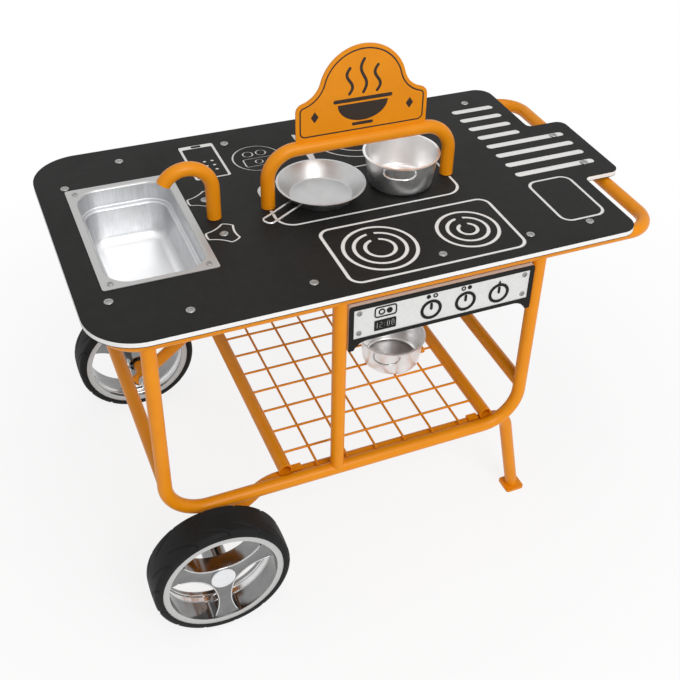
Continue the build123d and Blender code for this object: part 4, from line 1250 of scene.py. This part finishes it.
@dataclass
class Sign(Assembly):
    """The arch, its sign and the printed emblem; heights are measured from the worktop."""

    finishes: ClassVar[Coats] = {ORANGE: ("arch_tube", "arch_plates", "sign_plate")}
    middle: float = 20.5
    deck: float = 552.0
    half_width: float = 105.0
    sheet: float = 3.0
    foot: float = 99.7
    shoulder: float = 14.0
    shoulder_height: float = 146.0
    dome: float = 69.0
    dome_height: float = 170.5
    scoop: float = 40.0
    inset: float = 6.5
    border: float = 2.2
    border_corner: float = 8.0
    proud: float = 0.12
    bowl_brim: tuple = (-47.0, 152.0, 47.0, 158.0, 2.9)
    bowl_foot: tuple = (-17.0, 113.0, 17.0, 118.0, 2.0)
    bowl_radius: float = 40.0
    bowl_level: float = 149.0
    bowl_squash: float = 0.72
    steam: tuple = ((-22.0, 40.0), (0.0, 52.0), (22.0, 40.0))
    steam_level: float = 165.0
    steam_swing: float = 4.6
    steam_line: float = 4.6
    lozenge_places: tuple = ((-76.0, 136.0), (76.0, 136.0))
    lozenge_half: tuple = (6.0, 9.0)
    arch_feet: tuple = (-129.5, 170.5)
    plate_screw_reach: float = 19.325

    def edge_path(self) -> Array:
        """The sign's outline moved in: arcs keep their centres, outer radii shrink and the scoop's grows.

        The scoop's centre is the crossing of two circles, one about the shoulder and one about the dome, whose
        radii are the sums of the touching radii.

        Returns:
            Closed path of shape (n, 2).
        """
        shoulder = np.array([self.half_width - self.shoulder, self.shoulder_height])
        dome = np.array([0.0, self.dome_height])
        line = dome - shoulder
        between = float(np.hypot(*line))
        near, far = self.shoulder + self.scoop, self.dome + self.scoop
        along = (near**2 - far**2 + between**2) / (2 * between)
        off = math.sqrt(near**2 - along**2)
        scoop = shoulder + (along * line + off * line[::-1] * (1.0, -1.0)) / between
        from_shoulder = math.degrees(math.atan2(*(scoop - shoulder)[::-1]))
        from_dome = math.degrees(math.atan2(*(scoop - dome)[::-1]))
        inset, corner = self.inset, self.border_corner
        low_corner = (self.half_width - inset - corner, self.foot + inset + corner)
        right = np.concatenate(
            [
                arc(low_corner, corner, -90.0, 0.0, 14),
                arc(shoulder, self.shoulder - inset, 0.0, from_shoulder, 16),
                arc(scoop, self.scoop + inset, from_shoulder + 180.0, from_dome + 180.0, 20)[1:],
                arc(dome, self.dome - inset, from_dome, 90.0, 40)[1:],
            ]
        )
        return np.concatenate([right, (right * (-1.0, 1.0))[::-1][1:]])

    def emblem(self) -> Loops:
        """A border line, a steaming bowl on its foot and two small lozenges.

        Returns:
            Closed loops about the sign's middle.
        """
        bowl = arc((0.0, 0.0), self.bowl_radius, 180.0, 360.0, 48) * (1.0, self.bowl_squash) + (0.0, self.bowl_level)
        loops = routed_ring(self.edge_path(), self.border)
        loops += [rounded_box(*self.bowl_brim), bowl, rounded_box(*self.bowl_foot)]
        rise = np.linspace(0.0, 1.0, 40)
        for start, height in self.steam:
            swing = self.steam_swing * np.sin(2 * np.pi * rise)
            loops += routed_line(np.stack([start + swing, self.steam_level + height * rise], 1), self.steam_line)
        lozenge = np.array([(-1, 0), (0, -1), (1, 0), (0, 1)]) * self.lozenge_half
        return loops + [lozenge + place for place in self.lozenge_places]

    def make(self) -> None:
        """Lays the print on the sign's front and turns the screws of the arch's plates."""
        place = (self.middle, -self.sheet / 2, self.deck)
        new_piece(cut_plate("sign_print", self.emblem(), 2 * self.proud, STANDING, place), "cart", INK)
        ring = self.plate_screw_reach * polar(np.radians([0.0, 120.0, 240.0]))
        places = [(foot + x, y, 0.0) for foot in self.arch_feet for x, y in ring]
        ScrewSet("arch_plate_screws", places, axis=(0.0, 0.0, -1.0)).make()


@dataclass
class ControlPanel(Assembly):
    """The panel's front skin: a window with standing islands for knobs, lamps and a clock.

    Boxes and rings are written as they are for the worktop, and a digit's strokes as left, low, right and high.
    """

    # The panel's core takes the greyer copy of the white core, which is painted shade.
    finishes: ClassVar[Coats] = {PANEL_CORE_PAINTED_SHADE: ("panel_core",), SKIN: ("panel_back_skin",), ORANGE: ("panel_lugs",)}
    left: float = -91.95
    right: float = 207.05
    top: float = 514.5
    height: float = 65.0
    tab_drop: float = 14.5
    tab_width: float = 8.0
    tab_run: float = 30.0
    top_corner: float = 5.0
    side_border: float = 7.5
    top_border: float = 8.0
    low_border: float = 6.0
    front: float = -232.0
    skin: float = 1.0
    knob_columns: tuple = (37.3, 93.4, 149.2)
    knob_level: float = 477.0
    knob_radius: float = 14.8
    knob_line: float = 4.6
    pointer: tuple = (-2.0, -0.5, 2.0, 11.5)
    pointer_corner: float = 1.9
    lamp_rise: float = 24.0
    lamp_steps: tuple = (5.5, -5.0)
    lamp_lit: float = 3.3
    lamp_dark: float = 2.9
    lamp_line: float = 1.5
    arrow: tuple = ((-2.4, 17.6), (2.4, 17.6), (0.0, 22.6))
    clock_box: tuple = (-52.5, 462.0, -18.5, 480.0, 1.5)
    clock_foot: float = 465.5
    mode_box: tuple = (-52.0, 486.0, -19.0, 503.0, 4.0, 1.8)
    mode_ring: tuple = (-41.5, 494.5, 4.2, 1.9, 32)
    mode_disc: tuple = (-29.5, 494.5)
    mode_disc_radius: float = 4.6
    digit_high: float = 11.0
    digit_wide: float = 4.6
    digit_pen: float = 1.3
    digit_gap: float = 0.3
    digit_waist: float = 1.0
    digit_dots: tuple = ((0.0, 2.6, 1.5, 4.1), (0.0, 6.9, 1.5, 8.4))
    digit_starts: tuple = (-48.6, -44.4, -37.0, -32.8, -25.6)
    screw_inset: float = 16.0
    screw_drops: tuple = (15.0, 50.0)

    def outline(self) -> Loops:
        """The panel's edge with a tab at each lower corner, and its window.

        A tab's inner edge is an arc that leaves the lower edge level: its radius is (run squared + drop squared)
        / (2 * drop).

        Returns:
            Closed loops in the panel's own plane, across and up.
        """
        low, corner = self.top - self.height, self.top_corner
        run, drop = self.tab_run - self.tab_width, self.tab_drop
        radius = (run**2 + drop**2) / (2 * drop)
        lean = math.degrees(math.acos(1.0 - drop / radius))
        edge = np.concatenate(
            [
                arc((self.left + self.tab_run, low - radius), radius, 90.0 + lean, 90.0, 16),
                arc((self.right - self.tab_run, low - radius), radius, 90.0, 90.0 - lean, 16),
                [(self.right, low - drop)],
                arc((self.right - corner, self.top - corner), corner, 0.0, 90.0, 10),
                arc((self.left + corner, self.top - corner), corner, 90.0, 180.0, 10),
                [(self.left, low - drop)],
            ]
        )
        sides = self.left + self.side_border, self.right - self.side_border
        window = rounded_box(sides[0], low + self.low_border, sides[1], self.top - self.top_border, 1.0)
        return [edge, window]

    def knobs(self) -> Loops:
        """Three knob rings with a short pointer each, two pairs of lamps and one arrow head.

        Returns:
            Closed loops in the panel's own plane.
        """
        loops: Loops = []
        level = self.knob_level
        left, low, right, high = self.pointer
        for x in self.knob_columns:
            loops += routed_circle(x, level, self.knob_radius, self.knob_line)
            loops.append(rounded_box(x + left, level + low, x + right, level + high, self.pointer_corner))
        for x, step in zip(self.knob_columns, self.lamp_steps):
            loops.append(circle((x - step, level + self.lamp_rise), self.lamp_lit, 28))
            loops += routed_circle(x + step, level + self.lamp_rise, self.lamp_dark, self.lamp_line, 28)
        return loops + [np.array(self.arrow) + (self.knob_columns[-1], level)]

    def clock(self) -> Loops:
        """A dark clock field with open digits of straight strokes, under a box with a ring and a disc.

        Returns:
            Closed loops in the panel's own plane.
        """
        loops = [rounded_box(*self.clock_box), circle(self.mode_disc, self.mode_disc_radius, 32)]
        loops += routed_box(*self.mode_box) + routed_circle(*self.mode_ring)
        high, wide, pen, waist = self.digit_high, self.digit_wide, self.digit_pen, self.digit_waist
        foot, head = pen + self.digit_gap, high - pen - self.digit_gap
        low_bar, high_bar = (0.0, 0.0, wide, pen), (0.0, high - pen, wide, high)
        one = [(0.0, 0.0, pen, high)]
        two = [
            high_bar,
            (wide - pen, high / 2 + waist, wide, head),
            (0.0, (high - pen) / 2, wide, (high + pen) / 2),
            (0.0, foot, pen, high / 2 - waist),
            low_bar,
        ]
        nought = [low_bar, high_bar, (0.0, foot, pen, head), (wide - pen, foot, wide, head)]
        for start, strokes in zip(self.digit_starts, (one, two, self.digit_dots, nought, nought)):
            loops += [plain_box(*stroke) + (start, self.clock_foot) for stroke in strokes]
        return loops

    def make(self) -> None:
        """Cuts the front skin and turns the four screws."""
        loops = self.outline() + self.knobs() + self.clock()
        place = (0.0, self.front + self.skin / 2, 0.0)
        skin = cut_plate("panel_front_skin_routed", loops, self.skin, STANDING, place)
        new_piece(skin, "cart", SKIN, ["panel_front_skin"])
        columns = self.left + self.screw_inset, self.right - self.screw_inset
        places = [(x, 0.0, self.top - drop) for x in columns for drop in self.screw_drops]
        ScrewSet("panel_screws", places, axis=(0.0, -1.0, 0.0)).make()


@dataclass
class TubeFrame(Assembly):
    """Bent tubes, feet, plugs and the wire shelf."""

    finishes: ClassVar[Coats] = {
        ORANGE: (
            "top_loop", "front_side_frame", "rear_side_frame", "front_post", "rear_post", "left_cross_tube",
            "right_cross_tube", "front_undercarriage", "rear_undercarriage", "foot_plates", "shelf_left_tube",
            "shelf_right_tube", "shelf_mesh", "shelf_lugs", "axle_sleeves",
        ),
        PLAIN_STEEL: ("axle_bolts", "axle_washers", "axle_nuts"),
        PLUG: ("strut_plugs",),
    }


@dataclass
class Wheel(Assembly):
    """One wheel: its grooved tyre, the fine shapes of its rim and its finishes."""

    side: str
    outward: float
    axle: tuple = (-313.5, 272.5, 106.5)
    radius: float = 106.5
    seat: float = 93.6
    half_width: float = 29.5
    shoulder: float = 8.5
    crown: float = 0.7
    groove_count: int = 13
    groove_depth: float = 2.0
    groove_width: float = 3.2
    groove_sweep: float = 24.0
    groove_power: float = 1.6
    groove_span: tuple = (0.27, 0.93)
    groove_end: float = 0.985
    groove_taper: float = 0.45
    groove_fade: float = 0.4
    groove_ease: float = 0.5
    groove_wall: float = 1.2
    line_share: float = 0.9
    line_half: float = 0.9
    line_depth: float = 0.5
    seat_clear: float = 2.0
    window_far: float = 90.0
    window: float = 67.8
    window_turns: tuple = (90.0, 210.0, 330.0)
    hub: float = 18.0
    hub_front: float = 20.5
    hub_rise: tuple = (22.0, 28.0)
    dish: float = 5.0
    lip: float = 84.1
    edge_bead: float = 1.15
    edge_half: float = 59.5
    edge_clear: float = 0.4
    edge_rise: float = 0.9
    skin_proud: float = 0.25
    skin_hollow: float = 1.6
    skin_sunk: float = 0.6
    skin_inset: float = 1.0
    skin_gather: float = 1.5
    barrel: tuple = (
        (3.0, -5.7), (0.4, -5.7), (-0.6, -6.2), (-1.0, -7.2), (-0.6, -8.4), (0.2, -9.0), (0.2, -16.5),
        (-1.0, -17.2), (-1.5, -18.4), (-1.0, -19.6), (0.0, -20.2), (0.0, -21.9), (3.0, -21.9), (3.0, -5.7),
    )
    segments: int = 900

    @property
    def centre(self) -> Array:
        """The wheel's middle in the frame."""
        return np.array(self.axle) * (1.0, self.outward, 1.0)

    @property
    def rim(self) -> PlatedRim:
        """The rim's finish, with its lip about this wheel's axle."""
        return PlatedRim(self.side + "_rim_silver", centre=tuple(self.centre.tolist()))

    def around(self, reach: Array, lie: Array, angle: Array) -> Array:
        """Points about the axle, from arrays that fit each other.

        Args:
            reach: distance from the axle.
            lie: distance outward along the axle from the wheel's middle.
            angle: angle round the axle, in radians.

        Returns:
            The points in the frame, on a last axis.
        """
        x, y, z = self.centre
        parts = x + reach * np.cos(angle), y + self.outward * lie, z + reach * np.sin(angle)
        return np.stack(np.broadcast_arrays(*parts), -1)

    def section(self) -> Array:
        """The tyre's closed section: radius and distance across, from one edge of the bore round to the other.

        The tread falls from its middle by crown times the square of the share of the half width; each shoulder
        is a quarter circle.

        Returns:
            Array of shape (n, 2).
        """
        flat = self.half_width - self.shoulder
        across = np.linspace(-flat, flat, 46)
        tread = np.stack([self.radius - self.crown * (across / flat) ** 2, across], 1)
        top = self.radius - self.crown - self.shoulder
        wall = np.linspace(top, self.seat, 5)[1:]
        side = np.stack([wall, np.full(len(wall), self.half_width)], 1)
        right = np.concatenate([arc((top, flat), self.shoulder, 0.0, 90.0, 13)[1:], side])
        left = (right * (1.0, -1.0))[::-1]
        bore = np.stack([np.full(3, self.seat), np.linspace(self.half_width, -self.half_width, 5)[1:-1]], 1)
        return np.concatenate([left, tread, right, bore])

    def tyre(self) -> Mesh:
        """The section carried round the axle, pressed in along its normals where a groove runs.

        On each side a groove starts at the shoulder and curves inward: at share t of its way its angle is its
        first angle plus sweep times t to a power, and its width falls with t. The distance from a groove is the
        distance round the tread over the root of (1 + slope squared). A thin line runs round each shoulder.

        Returns:
            The mesh in its place.
        """
        section = self.section()
        normal = -side_steps(section, True)
        angle = np.linspace(0.0, 2 * np.pi, self.segments, endpoint=False)[None, :]
        across = section[:, 1:]
        off = np.abs(across) / self.half_width
        outer = section[:, :1] > self.seat + self.seat_clear
        start, end = self.groove_span
        share = np.clip((end - off) / (end - start), 0.0, 1.0)
        pitch, sweep, power = 2 * np.pi / self.groove_count, np.radians(self.groove_sweep), self.groove_power
        run = angle - np.where(across > 0, 0.0, pitch / 2) - sweep * share**power
        slope = self.radius * sweep * power * share ** (power - 1.0) / ((end - start) * self.half_width)
        apart = np.abs((run + pitch / 2) % pitch - pitch / 2) * self.radius / np.sqrt(1.0 + slope**2)
        half = self.groove_width / 2 * (1.0 - self.groove_taper * share)
        cut = np.clip((half + self.groove_ease - apart) / self.groove_wall, 0.0, 1.0)
        cut = cut * ((off < self.groove_end) & (off > start) & outer)
        line = np.abs(np.abs(across) - self.line_share * self.half_width) / self.line_half
        line = self.line_depth * np.clip(1.0 - line, 0.0, 1.0) * outer
        depth = np.maximum(self.groove_depth * (1.0 - self.groove_fade * share) * cut, line)
        points = self.around(section[:, :1] - depth * normal[:, :1], across - depth * normal[:, 1:], angle)
        quads = grid_quads(len(section), self.segments, wrap_rows=True)
        return new_mesh(self.side + "_tyre_grooved", points.reshape(-1, 3), quads)

    def face(self, away: Array) -> Array:
        """Depth of the spokes' face: it falls evenly from the lip to the hub."""
        return self.hub_front + self.dish * (away - self.hub) / (self.lip - self.hub)

    def clear_of_hub(self, away: Array) -> Array:
        """Nothing at the hub's edge, and one beyond its rise."""
        return np.clip((away - self.hub_rise[0]) / (self.hub_rise[1] - self.hub_rise[0]), 0.0, 1.0)

    def window_edges(self) -> Mesh:
        """A bead for the rim's painted highlight on the front edge of each window: part of a circle whose middle lies
        beyond the lip.

        Its depth follows the spokes' face.

        Returns:
            The mesh in its place.
        """
        beads = []
        for turn in self.window_turns:
            middle = self.window_far * polar(math.radians(turn))
            back = turn + 180.0
            flat = arc(middle, self.window + self.edge_clear, back - self.edge_half, back + self.edge_half, 60)
            away = np.hypot(*flat.T)
            depth = self.face(away) + self.edge_rise * self.clear_of_hub(away)
            beads.append(swept(self.around(away, depth, np.arctan2(flat[:, 1], flat[:, 0])), self.edge_bead))
        return new_mesh(self.side + "_rim_window_edges", *joined(beads))

    def spoke_skins(self) -> Mesh:
        """A hollowed skin on each spoke, from hub to lip.

        At distance r from the axle a window takes, to each side of its direction, the angle whose cosine is
        (r squared + far squared - window squared) / (2 * far * r), and the spoke takes the rest of the 60 degrees.
        The skin stands proud of the face by more toward its edges, by the square of its share of that angle; its
        back lies in the spoke.

        Returns:
            The mesh in its place.
        """
        run = np.linspace(0.0, 1.0, 48) ** self.skin_gather
        away = self.hub + self.skin_inset + (self.lip - self.skin_inset - self.hub) * run
        cosine = (away**2 + self.window_far**2 - self.window**2) / (2 * self.window_far * away)
        half = (np.pi / 3 - np.arccos(np.clip(cosine, -1.0, 1.0)))[:, None]
        over, under = np.linspace(-1.0, 1.0, 25), np.linspace(1.0, -1.0, 7)[1:-1]
        proud = self.skin_proud + self.skin_hollow * self.clear_of_hub(away)[:, None] * over**2
        proud[[0, -1]] = -self.skin_sunk
        back = np.full((len(away), len(under)), -self.skin_sunk)
        depth = self.face(away)[:, None] + np.concatenate([proud, back], 1)
        lean = half * np.concatenate([over, under])
        quads = grid_quads(*depth.shape)
        skins = [
            (self.around(away[:, None], depth, np.radians(turn - 60.0) + lean).reshape(-1, 3), quads)
            for turn in self.window_turns
        ]
        return new_mesh(self.side + "_rim_spoke_skins", *joined(skins))

    def barrel_band(self) -> Mesh:
        """A stepped band behind the spokes with two rounded ridges: a closed section turned about the axle.

        Returns:
            The mesh in its place.
        """
        profile = np.array(self.barrel) + (self.lip, 0.0)
        axis = np.array([0.0, self.outward, 0.0])
        points, quads, _ = lathed(profile, self.centre[None], axis, np.zeros(len(profile)), 160)
        return new_mesh(self.side + "_rim_barrel_band", points, quads)

    def make(self) -> None:
        """Makes the tyre and the rim's fine shapes."""
        body, rim = self.side + "_wheel", self.rim
        # A lighter copy of the rim's lacquer is a painted highlight, for the window beads and the barrel band.
        painted_highlight = replace(rim, name=self.side + "_rim_painted_highlight", colour=grey(0.72), shade=grey(0.64))
        new_piece(self.tyre(), body, RUBBER, [self.side + "_tyre"], crease=50.0)
        new_piece(self.window_edges(), body, painted_highlight, crease=80.0)
        new_piece(self.spoke_skins(), body, rim, crease=60.0)
        new_piece(self.barrel_band(), body, painted_highlight, crease=50.0)

    def coats(self) -> Coats:
        """The solids that keep their shape, by finish."""
        return {self.rim: (self.side + "_rim",), PLUG: (self.side + "_bushes",), CAP: (self.side + "_hub_cap",)}


@dataclass
class Cookware(Assembly):
    """Spun vessels with wire handles, each on its own body."""

    pan: tuple = (-43.0, 3.9)
    pot: tuple = (88.9, -0.2)
    small_pot: tuple = (78.2, -26.8)

    def coats(self) -> Coats:
        """Gives each vessel rings about its own axis, the pan a darker steel colour as painted shade, and the handles
        drawn wire.

        Returns:
            The solids by finish.
        """
        return {
            # The pan's darker grey is painted shade on the same spun steel as the pots.
            SpunSteel("pan_spun_steel_painted_shade", centre=self.pan, colour=grey(0.57), shade=grey(0.49)): ("pan_body",),
            SpunSteel("pot_spun_steel", centre=self.pot): ("pot_body",),
            SpunSteel("small_pot_spun_steel", centre=self.small_pot): ("small_pot_body",),
            WIRE_STEEL: ("pan_handle", "pot_handles", "small_pot_handles"),
        }


# ---------------------------------------------------------------- studio


@dataclass
class Studio:
    """Pale floor, soft light and the camera of the photograph; lamps and floor are in metres."""

    focal: float = 1054.8
    image: float = 680.0
    sensor: float = 36.0
    principal: tuple = (389.7, 312.6)
    azimuth: float = -26.18
    elevation: float = 37.71
    roll: float = 3.27
    stand: tuple = (-552.8, -1296.2, 1406.7)
    lamps: tuple = (("key_light", (0.2, -2.6, 2.3), 1.6, 47.0), ("top_light", (0.0, -0.1, 3.2), 2.0, 9.0))
    aim: tuple = (0.0, 0.0, 0.4)
    dome: float = 0.45
    floor_half: float = 6.0
    floor_drop: float = 0.4
    floor_fade: tuple = (0.5, 1.2)
    floor_near: float = 0.82
    floor_tint: Colour = linear(252, 252, 252)
    floor_roughness: float = 0.9

    @staticmethod
    def stood(thing: Piece, axes: Sequence[Array], place: Array) -> None:
        """Puts a camera or lamp into the scene.

        Args:
            thing: camera or lamp.
            axes: its right, up and back directions.
            place: where it stands, in metres.
        """
        pose = np.eye(4)
        pose[:3, :3] = np.stack(axes, 1)
        pose[:3, 3] = place
        thing.matrix_world = Matrix(pose.tolist())
        bpy.context.scene.collection.objects.link(thing)

    def camera(self) -> None:
        """Places the camera: its axes come from azimuth, elevation and roll, its shift from the picture's middle."""
        turn, rise, roll = np.radians([self.azimuth, self.elevation, self.roll])
        back = np.array([math.sin(turn) * math.cos(rise), -math.cos(turn) * math.cos(rise), math.sin(rise)])
        right = np.array([math.cos(turn), math.sin(turn), 0.0])
        up = np.cross(back, right)
        axes = (math.cos(roll) * right + math.sin(roll) * up, math.cos(roll) * up - math.sin(roll) * right, back)
        data = bpy.data.cameras.new("photo_camera")
        data.sensor_width = self.sensor
        data.lens = self.focal / self.image * self.sensor
        data.shift_x = 0.5 - self.principal[0] / self.image
        data.shift_y = self.principal[1] / self.image - 0.5
        camera = bpy.data.objects.new("photo_camera", data)
        self.stood(camera, axes, np.array(self.stand) * MM)
        bpy.context.scene.camera = camera

    def lamp(self, name: str, place: Sequence[float], size: float, power: float) -> None:
        """Adds a square soft light that faces the middle of the cart.

        Args:
            name: name of the lamp.
            place: where it stands, in metres.
            size: side of the square, in metres.
            power: its power.
        """
        data = bpy.data.lights.new(name, "AREA")
        data.shape = "SQUARE"
        data.size = size
        data.energy = power
        away = unit(np.array(place) - self.aim)
        side = unit(np.cross((0.0, 0.0, 1.0), away))
        self.stood(bpy.data.objects.new(name, data), (side, np.cross(away, side), away), np.array(place))

    @staticmethod
    def seen(sheet: Sheet) -> Socket:
        """One where a ray comes from the camera, a gloss or a glass, and zero for light on the cart.

        Args:
            sheet: tree of the floor or of the backdrop.

        Returns:
            The share that is seen.
        """
        path = sheet.add("ShaderNodeLightPath").outputs
        bent = sheet.sum("MAXIMUM", path["Is Glossy Ray"], path["Is Transmission Ray"])
        return sheet.sum("MAXIMUM", path["Is Camera Ray"], bent)

    @staticmethod
    def mixed(sheet: Sheet, share: Socket, lit: Node, shown: Node, result: Node) -> None:
        """Sends two shaders, mixed by a share, to a tree's output.

        Args:
            sheet: the tree.
            share: share of the second shader.
            lit: first shader.
            shown: second shader.
            result: output node of the tree.
        """
        mix = sheet.add("ShaderNodeMixShader", None, Fac=share)
        sheet.feed(mix.inputs[1], lit.outputs[0])
        sheet.feed(mix.inputs[2], shown.outputs[0])
        sheet.feed(result.inputs["Surface"], mix.outputs[0])

    def world(self) -> None:
        """A white backdrop for what is seen, and a softer even light for what is lit."""
        world = bpy.data.worlds.new("studio")
        bpy.context.scene.world = world
        world.use_nodes = True
        sheet = Sheet(world.node_tree)
        shown = sheet.add("ShaderNodeBackground", None, Color=grey(1.0), Strength=1.0)
        light = world.node_tree.nodes["Background"]
        light.inputs["Color"].default_value = grey(1.0)
        light.inputs["Strength"].default_value = self.dome
        self.mixed(sheet, self.seen(sheet), light, shown, world.node_tree.nodes["World Output"])

    def floor(self) -> None:
        """A flat pale floor that keeps the cart's shadow and runs out into the white backdrop."""
        steps = np.linspace(-self.floor_half, self.floor_half, 3) / MM
        x, y = np.meshgrid(steps, steps)
        points = np.stack([x, y, np.full_like(x, -self.floor_drop)], -1).reshape(-1, 3)
        mesh = new_mesh("studio_floor", points, grid_quads(3, 3, wrap_columns=False))
        made = bpy.data.materials.new("floor_paper")
        made.use_nodes = True
        sheet = Sheet(made.node_tree)
        paper = made.node_tree.nodes["Principled BSDF"]
        paper.inputs["Base Color"].default_value = self.floor_tint
        paper.inputs["Roughness"].default_value = self.floor_roughness
        paper.inputs["Specular IOR Level"].default_value = 0.0
        away = sheet.add("ShaderNodeVectorMath", {"operation": "LENGTH"})
        sheet.feed(away.inputs[0], sheet.add("ShaderNodeTexCoord").outputs["Object"])
        far = sheet.band(away.outputs["Value"], *self.floor_fade, self.floor_near, 1.0)
        white = sheet.add("ShaderNodeEmission", None, Color=grey(1.0), Strength=1.0)
        share = sheet.sum("MULTIPLY", far, self.seen(sheet))
        self.mixed(sheet, share, paper, white, made.node_tree.nodes["Material Output"])
        mesh.materials.append(made)
        floor = bpy.data.objects.new("studio_floor", mesh)
        bpy.context.scene.collection.objects.link(floor)

    def build(self) -> None:
        """Sets the view transform, the camera, the lights, the backdrop and the floor."""
        bpy.context.scene.view_settings.view_transform = "Standard"
        self.camera()
        for lamp in self.lamps:
            self.lamp(*lamp)
        self.world()
        self.floor()


def main() -> None:
    """Loads the solids, builds each sub-assembly in turn and sets the studio."""
    logging.basicConfig(level=logging.INFO, format="%(name)s: %(message)s")
    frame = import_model()
    wheels = Wheel("front", -1.0), Wheel("rear", 1.0)
    for assembly in (Worktop(), SinkUnit(), Sign(), ControlPanel(), TubeFrame(), *wheels, Cookware()):
        assembly.build(frame["nodes"])
    Studio().build()


if __name__ == "__main__":
    main()
